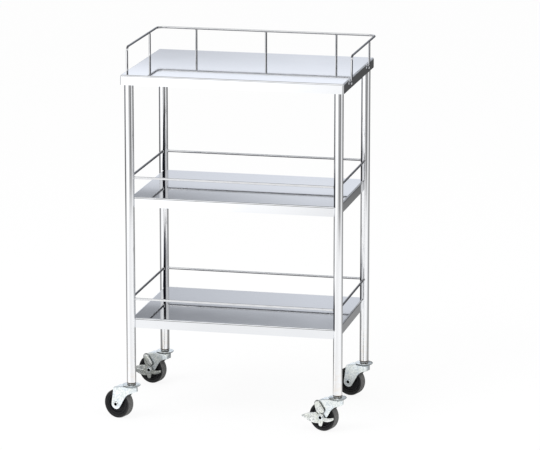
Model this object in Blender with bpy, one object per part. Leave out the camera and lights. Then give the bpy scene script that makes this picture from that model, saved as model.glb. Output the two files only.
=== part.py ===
# Instrument cart: three flat steel shelves on four round tube legs, a bent rod guard round the
# top shelf, straight guard rails round the two lower shelves, and four swivel casters, two of
# them with a foot brake. Metres, +Z up, standing on z = 0, front edge towards -Y.

from math import acos, atan2, cos, degrees, hypot, pi, radians, sin

import bmesh
import bpy
from mathutils import Matrix, Vector

# Clearance kept between pieces that touch on the real cart
GAP = 0.0003

# Shelves: folded sheet with a flange turned down on all four sides
SHEET = 0.0012
FLANGE_HEIGHT = 0.026
EDGE_RADIUS = 0.004
PANEL_WIDTH = 0.580
PANEL_DEPTH = 0.390
TOP_HEIGHT = 0.913
MIDDLE_HEIGHT = 0.592
BOTTOM_HEIGHT = 0.272

# Legs: round tubes welded under the top shelf, set in from its edges
LEG_DIAMETER = 0.024
LEG_WALL = 0.0012
LEG_INSET_X = 0.017
LEG_INSET_Y = 0.023

# Round rods of the guards
ROD_DIAMETER = 0.006
RAIL_HEIGHT = 0.051
GUARD_HEIGHT = 0.0575
GUARD_END_INSET = 0.082
GUARD_POST_INSET = 0.1015
GUARD_TOP_BEND = 0.012
GUARD_CORNER_BEND = 0.018
TAB_WIDTH = 0.009
TAB_THICKNESS = 0.0024
TAB_START_DROP = 0.005
TAB_END_ANGLE = 70.0
RIVET_DROP = 0.013
RIVET_RADIUS = 0.0016
RIVET_HEAD_RADIUS = 0.0034
RIVET_HEAD_HEIGHT = 0.0019
RIVET_TAIL_RADIUS = 0.0026

# Casters: rubber tyre on a plastic core, pressed steel fork, ball swivel
WHEEL_DIAMETER = 0.0762
TYRE_WIDTH = 0.024
TREAD_FLAT = 0.018
TYRE_DEPTH = 0.0095
TYRE_SHOULDER = 0.0012
HUB_RADIUS = 0.0105
RIM_WIDTH = 0.019
WEB_WIDTH = 0.010
RIM_DEPTH = 0.0045
CORE_DRAFT = 0.001
TRAIL = 0.0395
SWIVEL_REST = 18.0
AXLE_RADIUS = 0.0052
AXLE_BORE = 0.0042
AXLE_RIM_RADIUS = 0.0075
AXLE_RIM_HEIGHT = 0.0016
BEVEL = 0.0014
FORK_SHEET = 0.002
FORK_SIDE_CLEARANCE = 0.0015
FORK_END_RADIUS = 0.0135
FORK_CORNER_AHEAD = 0.0349
FORK_CORNER_RISE = 0.0325
FORK_CORNER_BLEND = 0.017
FORK_NOSE = 0.013
FORK_NOSE_DROP = 0.013
FORK_REAR = 0.007
CROWN_CLEARANCE = 0.0098
CROWN_SHEET = 0.0025
CROWN_REAR_DROP = 0.0045
CROWN_SLOPE_START = 0.020
CROWN_BEND = 0.0025
BOSS_RADIUS = 0.0145
BOSS_HEIGHT = 0.0016
BALL_RADIUS = 0.0015
BALL_PITCH_RADIUS = 0.0105
RACE_RADIUS = 0.0235
RACE_SHEET = 0.0016
RACE_RIM_HEIGHT = 0.0034
RACE_STEP = 0.0016
RACE_SLOPE = 0.0045
KINGPIN_RADIUS = 0.006
KINGPIN_HEAD_RADIUS = 0.0085
KINGPIN_HEAD_HEIGHT = 0.0032
COLLAR_RADIUS = 0.0105
COLLAR_HEIGHT = 0.0016
STEM_RADIUS = 0.0055
STEM_LENGTH = 0.026
INSERT_LENGTH = 0.030
INSERT_FLANGE = 0.0025

# Foot brake on two of the casters
BRAKE_SHEET = 0.0015
BRAKE_STRAP_RADIUS = 0.0095
BRAKE_BULGE_RADIUS = 0.0095
BRAKE_BULGE_HEIGHT = 0.0042
BRAKE_BULGE_LOW = (0.0035, 0.0195)
BRAKE_BULGE_TOP = (-0.0095, 0.0350)
BRAKE_BULGE_ROUND = 65.0
BRAKE_BULGE_TAPER = 0.9
LEVER_SHEET = 0.002
LEVER_HUB_RADIUS = 0.0105
LEVER_ROOT = 0.0055
LEVER_SHOULDER = 0.013
PEDAL_LENGTH = 0.050
PEDAL_ROOT_LOW = -0.0155
PEDAL_ROOT_HIGH = 0.0115
PEDAL_TIP_HEIGHT = 0.0015
PEDAL_TIP_WIDTH = 0.002
PEDAL_FLARE = 0.011
WING_LENGTH = 0.042
WING_WIDTH = 0.0105
WING_DROP = 0.0045
WING_RISE = 0.0085
WING_FLARE = 0.006
WING_ROUND = 55.0
LEVER_TAB_LENGTH = 0.0235
LEVER_TAB_TIP = 0.0055

# Facets of round pieces; a tyre facet is flat on the floor
LEG_SIDES = 24
ROD_SIDES = 10
WHEEL_SIDES = 20
RACE_SIDES = 16
INNER_SIDES = 16
BOLT_SIDES = 12
BEND_STEPS = 4
BULGE_LEVELS = 3
WING_STEPS = 4

# Places worked out from the sizes above
LEG_RADIUS = LEG_DIAMETER / 2
LEG_X = PANEL_WIDTH / 2 - LEG_INSET_X
LEG_Y = PANEL_DEPTH / 2 - LEG_INSET_Y
ROD_RADIUS = ROD_DIAMETER / 2
HUB_HEIGHT = WHEEL_DIAMETER / 2
WHEEL_RADIUS = WHEEL_DIAMETER / 2
FORK_INNER = TYRE_WIDTH / 2 + FORK_SIDE_CLEARANCE
FORK_OUTER = FORK_INNER + FORK_SHEET
CROWN_UNDERSIDE = WHEEL_DIAMETER + CROWN_CLEARANCE
CROWN_TOP = CROWN_UNDERSIDE + CROWN_SHEET
BOSS_TOP = CROWN_TOP + BOSS_HEIGHT
BALL_HEIGHT = BOSS_TOP + GAP + BALL_RADIUS
RACE_CEILING = BALL_HEIGHT + BALL_RADIUS + GAP
RACE_TOP = RACE_CEILING + RACE_SHEET
COLLAR_TOP = RACE_TOP + COLLAR_HEIGHT
INSERT_BOTTOM = COLLAR_TOP + GAP
LEG_FOOT = INSERT_BOTTOM + INSERT_FLANGE + GAP
AXLE_HOLE = AXLE_RADIUS + GAP

CORNERS = {
    "front_left": (-1, -1),
    "front_right": (1, -1),
    "back_left": (-1, 1),
    "back_right": (1, 1),
}
BRAKED = ("front_right", "back_left")


def clear_scene():
    for item in list(bpy.data.objects):
        bpy.data.objects.remove(item, do_unlink=True)


def finish(name, colour, roughness, metallic):
    material = bpy.data.materials.new(name)
    material.use_nodes = True
    shader = material.node_tree.nodes["Principled BSDF"]
    shader.inputs["Base Color"].default_value = (*colour, 1.0)
    shader.inputs["Roughness"].default_value = roughness
    shader.inputs["Metallic"].default_value = metallic
    return material


def add_empty(name, parent=None, location=(0, 0, 0), turn_z=0.0):
    empty = bpy.data.objects.new(name, None)
    bpy.context.collection.objects.link(empty)
    empty.parent = parent
    empty.location = location
    empty.rotation_euler = (0, 0, turn_z)
    return empty


def add_piece(name, bm, material, parent, location=(0, 0, 0), smooth=35):
    bmesh.ops.remove_doubles(bm, verts=bm.verts, dist=1e-6)
    bmesh.ops.recalc_face_normals(bm, faces=bm.faces)
    mesh = bpy.data.meshes.new(name)
    bm.to_mesh(mesh)
    bm.free()
    mesh.shade_smooth()
    mesh.set_sharp_from_angle(angle=radians(smooth))
    mesh.materials.append(material)
    piece = bpy.data.objects.new(name, mesh)
    bpy.context.collection.objects.link(piece)
    piece.parent = parent
    piece.location = location
    return piece


def apply_modifiers(piece):
    bpy.context.view_layer.update()
    graph = bpy.context.evaluated_depsgraph_get()
    mesh = bpy.data.meshes.new_from_object(piece.evaluated_get(graph))
    old = piece.data
    piece.modifiers.clear()
    piece.data = mesh
    mesh.name = piece.name
    bpy.data.meshes.remove(old)


def combine(piece, other, operation):
    other.parent = piece.parent
    boolean = piece.modifiers.new(operation.lower(), "BOOLEAN")
    boolean.operation = operation
    boolean.solver = "EXACT"
    boolean.object = other
    apply_modifiers(piece)
    bpy.data.objects.remove(other, do_unlink=True)


def arc(centre, radius, start, end, steps):
    points = []
    for step in range(steps + 1):
        angle = radians(start + (end - start) * step / steps)
        points.append((centre[0] + radius * cos(angle), centre[1] + radius * sin(angle)))
    return points


def tangent_angle(point, centre, radius, side):
    dx, dy = point[0] - centre[0], point[1] - centre[1]
    return degrees(atan2(dy, dx) + side * acos(radius / hypot(dx, dy)))


# A prism over an outline: plane "xz" extrudes along y, "xy" extrudes along z
def prism(outline, low, high, plane):
    bm = bmesh.new()
    place = {"xz": lambda u, v, w: (u, w, v), "xy": lambda u, v, w: (u, v, w)}[plane]
    base = bm.faces.new([bm.verts.new(place(u, v, low)) for u, v in outline])
    side = bmesh.ops.extrude_face_region(bm, geom=[base])
    lift = Vector(place(0, 0, high - low))
    moved = [item for item in side["geom"] if isinstance(item, bmesh.types.BMVert)]
    bmesh.ops.translate(bm, verts=moved, vec=lift)
    return bm


# A turned piece: profile points are (radius, along); axis is "z" or "y"
def turned(profile, sides, axis="z", closed=False, half_turn=False):
    bm = bmesh.new()
    start = pi / sides if half_turn else 0.0
    points = []
    for radius, along in profile:
        ring = (radius * sin(start), along, -radius * cos(start))
        points.append(bm.verts.new(ring if axis == "y" else (radius, 0, along)))
    pairs = list(zip(points, points[1:]))
    if closed:
        pairs.append((points[-1], points[0]))
    edges = [bm.edges.new(pair) for pair in pairs]
    direction = (0, 1, 0) if axis == "y" else (0, 0, 1)
    bmesh.ops.spin(bm, geom=points + edges, cent=(0, 0, 0), axis=direction,
                   angle=2 * pi, steps=sides, use_merge=True)
    return bm


# A rod swept through rings: each ring is (centre, across, thickness direction, half sizes)
def swept(rings, sides):
    bm = bmesh.new()
    loops = []
    for centre, across, through, half_across, half_through in rings:
        loop = []
        for index in range(sides):
            angle = 2 * pi * (index + 0.5) / sides
            offset = across * (half_across * cos(angle)) + through * (half_through * sin(angle))
            loop.append(bm.verts.new(centre + offset))
        loops.append(loop)
    for lower, upper in zip(loops, loops[1:]):
        for index in range(sides):
            after = (index + 1) % sides
            bm.faces.new((lower[index], lower[after], upper[after], upper[index]))
    bm.faces.new(loops[0])
    bm.faces.new(loops[-1])
    return bm


def straight_rod(start, end):
    along = (end - start).normalized()
    across = along.orthogonal().normalized()
    through = along.cross(across)
    rings = [(point, across, through, ROD_RADIUS, ROD_RADIUS) for point in (start, end)]
    return swept(rings, ROD_SIDES)


def round_cutter(name, centre, radius, low, high, axis="z", sides=BOLT_SIDES):
    bm = turned([(0, low), (radius / cos(pi / sides), low), (radius / cos(pi / sides), high), (0, high)],
                sides, axis)
    bmesh.ops.translate(bm, verts=bm.verts, vec=centre)
    cutter = add_piece(name, bm, None, None)
    cutter.hide_render = True
    cutter.display_type = "WIRE"
    return cutter


def joined(cutters):
    bm = bmesh.new()
    for cutter in cutters:
        bm.from_mesh(cutter.data)
        bpy.data.objects.remove(cutter, do_unlink=True)
    return add_piece("cutter", bm, None, None)


# Folded sheet: a box with its top and upright edges rounded, open below, thickened inwards
def folded_panel(name, width, depth, top, material, parent):
    bm = bmesh.new()
    bmesh.ops.create_cube(bm, size=1.0)
    bmesh.ops.scale(bm, verts=bm.verts, vec=(width, depth, FLANGE_HEIGHT))
    bmesh.ops.translate(bm, verts=bm.verts, vec=(0, 0, top - FLANGE_HEIGHT / 2))
    bottom = top - FLANGE_HEIGHT / 2
    folds = [edge for edge in bm.edges if max(vert.co.z for vert in edge.verts) > bottom]
    bmesh.ops.bevel(bm, geom=folds, offset=EDGE_RADIUS, offset_type="OFFSET", segments=3,
                    profile=0.5, affect="EDGES", clamp_overlap=True)
    under = [face for face in bm.faces if face.normal.z < -0.9]
    bmesh.ops.delete(bm, geom=under, context="FACES")
    panel = add_piece(name, bm, material, parent)
    wall = panel.modifiers.new("sheet", "SOLIDIFY")
    wall.thickness = SHEET
    wall.offset = -1
    wall.use_even_offset = True
    apply_modifiers(panel)
    return panel


def guard_anchor_points():
    side_x = PANEL_WIDTH / 2
    back_y = PANEL_DEPTH / 2
    end_y = back_y - GUARD_END_INSET
    post_x = side_x - GUARD_POST_INSET
    return {
        "front_left": ((-side_x, -end_y), (-1, 0)),
        "front_right": ((side_x, -end_y), (1, 0)),
        "left": ((-side_x, end_y), (-1, 0)),
        "right": ((side_x, end_y), (1, 0)),
        "back_left": ((-post_x, back_y), (0, 1)),
        "back_middle": ((0.0, back_y), (0, 1)),
        "back_right": ((post_x, back_y), (0, 1)),
    }


def make_shelves(steel, parent):
    top = folded_panel("top_panel", PANEL_WIDTH, PANEL_DEPTH, TOP_HEIGHT, steel, parent)
    holes = []
    for (x, y), (out_x, out_y) in guard_anchor_points().values():
        axis = "y" if out_y else "x"
        span = 2 * SHEET
        hole = round_cutter("hole", (0, 0, 0), RIVET_RADIUS + GAP, -span, span, "y", 8)
        turn = Matrix.Rotation(pi / 2, 4, "Z") if axis == "x" else Matrix.Identity(4)
        hole.data.transform(Matrix.Translation((x, y, TOP_HEIGHT - RIVET_DROP)) @ turn)
        holes.append(hole)
    combine(top, joined(holes), "DIFFERENCE")
    for name, height in (("middle_shelf", MIDDLE_HEIGHT), ("bottom_shelf", BOTTOM_HEIGHT)):
        shelf = folded_panel(name, 2 * LEG_X, 2 * LEG_Y, height, steel, parent)
        low, high = height - 2 * FLANGE_HEIGHT, height + FLANGE_HEIGHT
        copes = [round_cutter("cope", (sx * LEG_X, sy * LEG_Y, 0), LEG_RADIUS + GAP, low, high,
                              "z", LEG_SIDES) for sx, sy in CORNERS.values()]
        combine(shelf, joined(copes), "DIFFERENCE")


def make_legs(steel, parent):
    top = TOP_HEIGHT - SHEET - GAP
    inner = LEG_RADIUS - LEG_WALL
    profile = [(inner, LEG_FOOT), (LEG_RADIUS, LEG_FOOT), (LEG_RADIUS, top), (inner, top)]
    for corner, (sx, sy) in CORNERS.items():
        tube = turned(profile, LEG_SIDES, closed=True)
        add_piece(f"leg_{corner}", tube, steel, parent, (sx * LEG_X, sy * LEG_Y, 0))


def make_rails(steel, parent):
    reach_x = LEG_X - LEG_RADIUS - GAP
    reach_y = LEG_Y - LEG_RADIUS - GAP
    for shelf, height in (("middle", MIDDLE_HEIGHT), ("bottom", BOTTOM_HEIGHT)):
        z = height + RAIL_HEIGHT
        for side, y in (("front", -LEG_Y), ("back", LEG_Y)):
            rod = straight_rod(Vector((-reach_x, y, z)), Vector((reach_x, y, z)))
            add_piece(f"{shelf}_rail_{side}", rod, steel, parent)
        for side, x in (("left", -LEG_X), ("right", LEG_X)):
            rod = straight_rod(Vector((x, -reach_y, z)), Vector((x, reach_y, z)))
            add_piece(f"{shelf}_rail_{side}", rod, steel, parent)


# Rings of an upright's foot, from the flat tab at its lower end up to the round rod
def foot_rings(place, outward):
    edge = Vector((*place, 0))
    out = Vector((*outward, 0))
    side = out.cross(Vector((0, 0, 1)))
    tab_offset = GAP + TAB_THICKNESS / 2
    rod_offset = GAP + ROD_RADIUS
    rivet = TOP_HEIGHT - RIVET_DROP
    round_end = TAB_WIDTH / 2
    flat = TAB_THICKNESS / 2
    steps = [
        (rivet - round_end, tab_offset, round_end * cos(radians(TAB_END_ANGLE)), flat),
        (rivet - round_end * sin(pi / 4), tab_offset, round_end * cos(pi / 4), flat),
        (rivet, tab_offset, round_end, flat),
        (rivet + round_end, tab_offset, round_end, flat),
        (TOP_HEIGHT - TAB_START_DROP + flat, rod_offset, ROD_RADIUS, ROD_RADIUS),
    ]
    rings = []
    for z, offset, half_side, half_out in steps:
        rings.append((edge + out * offset + Vector((0, 0, z)), side, out, half_side, half_out))
    return rings


# Rings round a bend from one direction of the rod to the next
def bend_rings(corner, before, after, radius):
    middle = corner - before * radius + after * radius
    turn_axis = before.cross(after)
    rings = []
    for step in range(BEND_STEPS + 1):
        turn = Matrix.Rotation(pi / 2 * step / BEND_STEPS, 3, turn_axis)
        along = turn @ before
        rings.append((middle - turn @ after * radius, along))
    return rings


def make_guard(steel, rivet_steel, parent):
    anchors = guard_anchor_points()
    rail_z = TOP_HEIGHT + GUARD_HEIGHT
    offset = GAP + ROD_RADIUS
    side_x = PANEL_WIDTH / 2 + offset
    back_y = PANEL_DEPTH / 2 + offset
    end_y = anchors["front_right"][0][1]
    up, back, right = Vector((0, 0, 1)), Vector((0, 1, 0)), Vector((1, 0, 0))
    bends = [
        (Vector((-side_x, end_y, rail_z)), up, back, GUARD_TOP_BEND),
        (Vector((-side_x, back_y, rail_z)), back, right, GUARD_CORNER_BEND),
        (Vector((side_x, back_y, rail_z)), right, -back, GUARD_CORNER_BEND),
        (Vector((side_x, end_y, rail_z)), -back, -up, GUARD_TOP_BEND),
    ]
    rings = foot_rings(*anchors["front_left"])
    side, out = rings[-1][1], rings[-1][2]
    heading = up
    for corner, before, after, radius in bends:
        for centre, along in bend_rings(corner, before, after, radius):
            turn = heading.rotation_difference(along)
            side, out = turn @ side, turn @ out
            heading = along
            rings.append((centre, side, out, ROD_RADIUS, ROD_RADIUS))
    last_foot = foot_rings(*anchors["front_right"])
    for centre, foot_side, foot_out, half_side, half_out in reversed(last_foot):
        rings.append((centre, side, out, half_side, half_out) if abs(side.dot(foot_side)) > 0.5
                     else (centre, side, out, half_out, half_side))
    rod = add_piece("top_guard_rod", swept(rings, ROD_SIDES), steel, parent)
    pieces = {"front_left": rod, "front_right": rod}
    post_top = rail_z - ROD_RADIUS - GAP
    for name in ("left", "right", "back_left", "back_middle", "back_right"):
        rings = foot_rings(*anchors[name])
        centre, side, out, half_side, half_out = rings[-1]
        rings.append((Vector((centre.x, centre.y, post_top)), side, out, half_side, half_out))
        pieces[name] = add_piece(f"guard_post_{name}", swept(rings, ROD_SIDES), steel, parent)

    outer = GAP + TAB_THICKNESS + GAP
    inner = -SHEET - GAP
    shank, dome = RIVET_RADIUS, RIVET_HEAD_HEIGHT
    profile = [(0, outer + dome), (RIVET_HEAD_RADIUS * sin(pi / 4), outer + dome * cos(pi / 4)),
               (RIVET_HEAD_RADIUS, outer), (shank, outer), (shank, inner), (RIVET_TAIL_RADIUS, inner),
               (RIVET_TAIL_RADIUS, inner - dome), (0, inner - dome)]
    for name, ((x, y), (out_x, out_y)) in anchors.items():
        turn = Matrix.Rotation(atan2(-out_x, out_y), 4, "Z")
        place = Matrix.Translation((x, y, TOP_HEIGHT - RIVET_DROP)) @ turn
        hole = round_cutter("hole", (0, 0, 0), shank + GAP, -SHEET, outer + SHEET, "y", 8)
        hole.data.transform(place)
        combine(pieces[name], hole, "DIFFERENCE")
        rivet = turned(profile, 8, "y")
        bmesh.ops.transform(rivet, matrix=place, verts=rivet.verts)
        add_piece(f"guard_rivet_{name}", rivet, rivet_steel, parent)


def make_insert(corner, plastic, parent, place):
    outer = LEG_RADIUS - LEG_WALL - GAP
    bore = STEM_RADIUS + GAP
    shoulder = INSERT_BOTTOM + INSERT_FLANGE
    top = INSERT_BOTTOM + INSERT_LENGTH
    profile = [(bore, INSERT_BOTTOM), (LEG_RADIUS, INSERT_BOTTOM), (LEG_RADIUS, shoulder),
               (outer, shoulder), (outer, top), (bore, top)]
    add_piece(f"foot_insert_{corner}", turned(profile, INNER_SIDES, closed=True), plastic, parent, place)


# Upper swivel race with its threaded stem above and its kingpin head below
def make_stem(corner, zinc, parent, place):
    pin_end = CROWN_UNDERSIDE - GAP
    rim_bottom = RACE_CEILING - RACE_RIM_HEIGHT
    skirt = RACE_RADIUS - RACE_STEP
    profile = [
        (0, COLLAR_TOP + STEM_LENGTH),
        (STEM_RADIUS, COLLAR_TOP + STEM_LENGTH),
        (STEM_RADIUS, COLLAR_TOP),
        (COLLAR_RADIUS, COLLAR_TOP),
        (COLLAR_RADIUS, RACE_TOP),
        (RACE_RADIUS - RACE_SLOPE, RACE_TOP - RACE_SHEET / 2),
        (RACE_RADIUS, RACE_CEILING - RACE_SHEET / 4),
        (RACE_RADIUS, RACE_CEILING - RACE_SHEET),
        (skirt, RACE_CEILING - RACE_SHEET),
        (skirt, rim_bottom),
        (skirt - RACE_SHEET, rim_bottom),
        (skirt - RACE_SHEET, RACE_CEILING - RACE_SHEET),
        (skirt - RACE_SLOPE, RACE_CEILING),
        (KINGPIN_RADIUS, RACE_CEILING),
        (KINGPIN_RADIUS, pin_end),
        (KINGPIN_HEAD_RADIUS, pin_end),
        (KINGPIN_HEAD_RADIUS - BEVEL, pin_end - KINGPIN_HEAD_HEIGHT),
        (0, pin_end - KINGPIN_HEAD_HEIGHT),
    ]
    add_piece(f"caster_stem_{corner}", turned(profile, RACE_SIDES), zinc, parent, place)


# Ring of balls between the two races, turned as one ring with the balls' round section
def make_ball_race(corner, steel, swivel):
    section = arc((BALL_PITCH_RADIUS, BALL_HEIGHT), BALL_RADIUS, 0, 300, 5)
    add_piece(f"ball_race_{corner}", turned(section, INNER_SIDES, closed=True), steel, swivel)


# Side view of the fork: crown, rear edge, rounded end at the axle, hollow front edge, nose
def fork_outline(nose):
    axle = (-TRAIL, HUB_HEIGHT)
    rear_top = (-TRAIL - FORK_REAR, CROWN_TOP - CROWN_REAR_DROP)
    corner = Vector((FORK_CORNER_AHEAD - TRAIL, HUB_HEIGHT + FORK_CORNER_RISE))
    nose_low = Vector((nose - CROWN_BEND, CROWN_TOP - FORK_NOSE_DROP - CROWN_BEND))
    start = tangent_angle(rear_top, axle, FORK_END_RADIUS, 1)
    end = tangent_angle(corner, axle, FORK_END_RADIUS, -1) + 360
    end_arc = arc(axle, FORK_END_RADIUS, start, end, 8)
    below = (Vector(end_arc[-1]) - corner).normalized() * FORK_CORNER_BLEND
    ahead = (nose_low - corner).normalized() * FORK_CORNER_BLEND
    hollow = []
    for step in range(BEND_STEPS + 1):
        share = step / BEND_STEPS
        hollow.append(tuple(corner + below * (1 - share) ** 2 + ahead * share ** 2))
    outline = [(nose, CROWN_TOP), (-CROWN_SLOPE_START, CROWN_TOP), rear_top]
    return outline + end_arc + hollow + [tuple(nose_low), (nose, CROWN_TOP - FORK_NOSE_DROP)]


def nose_plan(half_width, nose, back):
    centre = (nose - half_width, 0)
    return [(-back, -half_width)] + arc(centre, half_width, -90, 90, 10) + [(-back, half_width)]


def make_fork_mesh(zinc):
    nose = FORK_NOSE + CROWN_BEND
    back = TRAIL + WHEEL_RADIUS
    low, high = 0.0, 2 * CROWN_TOP
    blank = 2 * FORK_OUTER
    fork = add_piece("fork", prism(fork_outline(nose), -blank, blank, "xz"), zinc, None)
    combine(fork, add_piece("plan", prism(nose_plan(FORK_OUTER, nose, back), low, high, "xy"), None, None),
            "INTERSECT")
    bm = bmesh.new()
    bm.from_mesh(fork.data)
    bmesh.ops.dissolve_limit(bm, angle_limit=radians(1), verts=bm.verts, edges=bm.edges)
    bm.normal_update()
    crown = [edge for edge in bm.edges if len(edge.link_faces) == 2
             and max(face.normal.z for face in edge.link_faces) > 0.9
             and abs(min(face.normal.z for face in edge.link_faces)) < 0.05
             and abs(edge.verts[0].co.y - edge.verts[1].co.y) < FORK_OUTER]
    bmesh.ops.bevel(bm, geom=crown, offset=CROWN_BEND, offset_type="OFFSET", segments=2,
                    profile=0.5, affect="EDGES", clamp_overlap=True)
    bm.to_mesh(fork.data)
    bm.free()
    slope = CROWN_REAR_DROP / (TRAIL + FORK_REAR - CROWN_SLOPE_START)
    far = back + WHEEL_RADIUS
    space = [(nose, CROWN_UNDERSIDE), (-CROWN_SLOPE_START, CROWN_UNDERSIDE),
             (-far, CROWN_UNDERSIDE - slope * (far - CROWN_SLOPE_START)), (-far, -CROWN_TOP),
             (nose, -CROWN_TOP)]
    slot = add_piece("slot", prism(space, -FORK_OUTER, FORK_OUTER, "xz"), None, None)
    inner_plan = nose_plan(FORK_INNER, nose - FORK_SHEET, far + CROWN_TOP)
    combine(slot, add_piece("plan", prism(inner_plan, -2 * CROWN_TOP, high, "xy"), None, None), "INTERSECT")
    combine(fork, slot, "DIFFERENCE")
    boss = [(0, BOSS_TOP), (BOSS_RADIUS - BOSS_HEIGHT, BOSS_TOP), (BOSS_RADIUS, CROWN_TOP - CROWN_SHEET / 4),
            (0, CROWN_TOP - CROWN_SHEET / 4)]
    combine(fork, add_piece("boss", turned(boss, RACE_SIDES), None, None), "UNION")
    combine(fork, round_cutter("hole", (0, 0, 0), KINGPIN_RADIUS + GAP, CROWN_UNDERSIDE - CROWN_SHEET,
                               BOSS_TOP + CROWN_SHEET, "z", RACE_SIDES), "DIFFERENCE")
    combine(fork, round_cutter("hole", (-TRAIL, 0, HUB_HEIGHT), AXLE_HOLE, -2 * FORK_OUTER, 2 * FORK_OUTER,
                               "y", BOLT_SIDES), "DIFFERENCE")
    mesh = fork.data
    bpy.data.objects.remove(fork, do_unlink=True)
    return mesh


def make_fork(corner, mesh, zinc, swivel):
    fork = bpy.data.objects.new(f"caster_fork_{corner}", mesh.copy())
    fork.data.name = fork.name
    fork.data.materials.clear()
    fork.data.materials.append(zinc)
    fork.data.shade_smooth()
    fork.data.set_sharp_from_angle(angle=radians(35))
    bpy.context.collection.objects.link(fork)
    fork.parent = swivel


# Hollow axle, flared into a flat rim at both ends to hold the stack together
def make_axle(corner, zinc, parent, outer_face):
    head = -outer_face - GAP
    tail = FORK_OUTER + GAP
    profile = [(AXLE_BORE, head - AXLE_RIM_HEIGHT), (AXLE_RIM_RADIUS - BEVEL, head - AXLE_RIM_HEIGHT),
               (AXLE_RIM_RADIUS, head), (AXLE_RADIUS, head), (AXLE_RADIUS, tail), (AXLE_RIM_RADIUS, tail),
               (AXLE_RIM_RADIUS - BEVEL, tail + AXLE_RIM_HEIGHT), (AXLE_BORE, tail + AXLE_RIM_HEIGHT)]
    add_piece(f"axle_{corner}", turned(profile, BOLT_SIDES, "y", closed=True), zinc, parent)


def make_wheel(corner, plastic, rubber, parent):
    seat = WHEEL_RADIUS - TYRE_DEPTH
    hub_half = FORK_INNER - GAP
    rim_half, web_half = RIM_WIDTH / 2, WEB_WIDTH / 2
    rim_inner = seat - RIM_DEPTH
    half = [(AXLE_HOLE, hub_half), (HUB_RADIUS, hub_half), (HUB_RADIUS + CORE_DRAFT, web_half),
            (rim_inner - CORE_DRAFT, web_half), (rim_inner, rim_half), (seat - GAP, rim_half)]
    profile = half + [(radius, -along) for radius, along in reversed(half)]
    stretch = 1 / cos(pi / WHEEL_SIDES)
    core = turned([(radius * stretch, along) for radius, along in profile], WHEEL_SIDES, "y", True, True)
    add_piece(f"wheel_core_{corner}", core, plastic, parent)
    flat, wide = TREAD_FLAT / 2, TYRE_WIDTH / 2
    half = [(seat, rim_half), (WHEEL_RADIUS - 2 * TYRE_SHOULDER, wide),
            (WHEEL_RADIUS - TYRE_SHOULDER / 2, (wide + flat) / 2), (WHEEL_RADIUS, flat)]
    profile = half + [(radius, -along) for radius, along in reversed(half)]
    tyre = turned([(radius * stretch, along) for radius, along in profile], WHEEL_SIDES, "y", True, True)
    add_piece(f"tyre_{corner}", tyre, rubber, parent)


# Outline round two circles, joined by their outer tangents
def strap_outline(low, low_radius, high, high_radius):
    dx, dz = high[0] - low[0], high[1] - low[1]
    heading = degrees(atan2(dz, dx))
    spread = degrees(acos((low_radius - high_radius) / hypot(dx, dz)))
    upper = arc(high, high_radius, heading - spread, heading + spread, 8)
    return upper + arc(low, low_radius, heading + spread, heading + 360 - spread, 8)


# Brake plate: a flat strap from the axle up the fork's cheek with a pressed bulge on its upper part
def make_brake_plate(corner, zinc, axle):
    inner = -FORK_OUTER - GAP
    outer = inner - BRAKE_SHEET
    rim = BRAKE_BULGE_RADIUS + BRAKE_SHEET / 2
    outline = strap_outline((0, 0), BRAKE_STRAP_RADIUS, BRAKE_BULGE_TOP, rim)
    plate = add_piece(f"brake_plate_{corner}", prism(outline, outer, inner, "xz"), zinc, axle)
    bulge = bmesh.new()
    loops = []
    sunk = BRAKE_SHEET / 2
    for level in range(BULGE_LEVELS + 1):
        rise = level / BULGE_LEVELS
        radius = BRAKE_BULGE_RADIUS * cos(rise * radians(BRAKE_BULGE_ROUND))
        y = outer + sunk - (BRAKE_BULGE_HEIGHT + sunk) * sin(rise * pi / 2)
        ring = strap_outline(BRAKE_BULGE_LOW, radius * BRAKE_BULGE_TAPER, BRAKE_BULGE_TOP, radius)
        loops.append([bulge.verts.new((x, y, z)) for x, z in ring])
    for lower, upper in zip(loops, loops[1:]):
        for index in range(len(lower)):
            after = (index + 1) % len(lower)
            bulge.faces.new((lower[index], lower[after], upper[after], upper[index]))
    bulge.faces.new(loops[0])
    bulge.faces.new(loops[-1])
    combine(plate, add_piece("bulge", bulge, None, None), "UNION")
    combine(plate, round_cutter("hole", (0, 0, 0), AXLE_HOLE, 2 * outer, 0, "y"), "DIFFERENCE")


# A wing of the brake lever: stations along x give its lower and upper edge and its flare outwards
def wing_solid(stations, face, thickness):
    bm = bmesh.new()
    loops = []
    for x, low, high, flare in stations:
        y = face - flare
        corners = ((y, low), (y, high), (y - thickness, high), (y - thickness, low))
        loops.append([bm.verts.new((x, across, z)) for across, z in corners])
    for first, second in zip(loops, loops[1:]):
        for index in range(4):
            after = (index + 1) % 4
            bm.faces.new((first[index], first[after], second[after], second[index]))
    bm.faces.new(loops[0])
    bm.faces.new(loops[-1])
    return bm


# Leaf shaped pedal, widest near the hub and drawn to a point at its tip
def pedal_stations():
    stations = [(-LEVER_ROOT, PEDAL_ROOT_LOW, PEDAL_ROOT_HIGH / 2, 0.0)]
    for step in range(WING_STEPS + 1):
        share = step / WING_STEPS
        x = -LEVER_SHOULDER - (PEDAL_LENGTH - LEVER_SHOULDER) * share
        taper = cos(share * pi / 2)
        tip = PEDAL_TIP_HEIGHT * share
        low = PEDAL_ROOT_LOW * taper + tip - PEDAL_TIP_WIDTH / 2
        high = PEDAL_ROOT_HIGH * taper + tip + PEDAL_TIP_WIDTH / 2
        stations.append((x, low, high, PEDAL_FLARE * share))
    return stations


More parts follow.
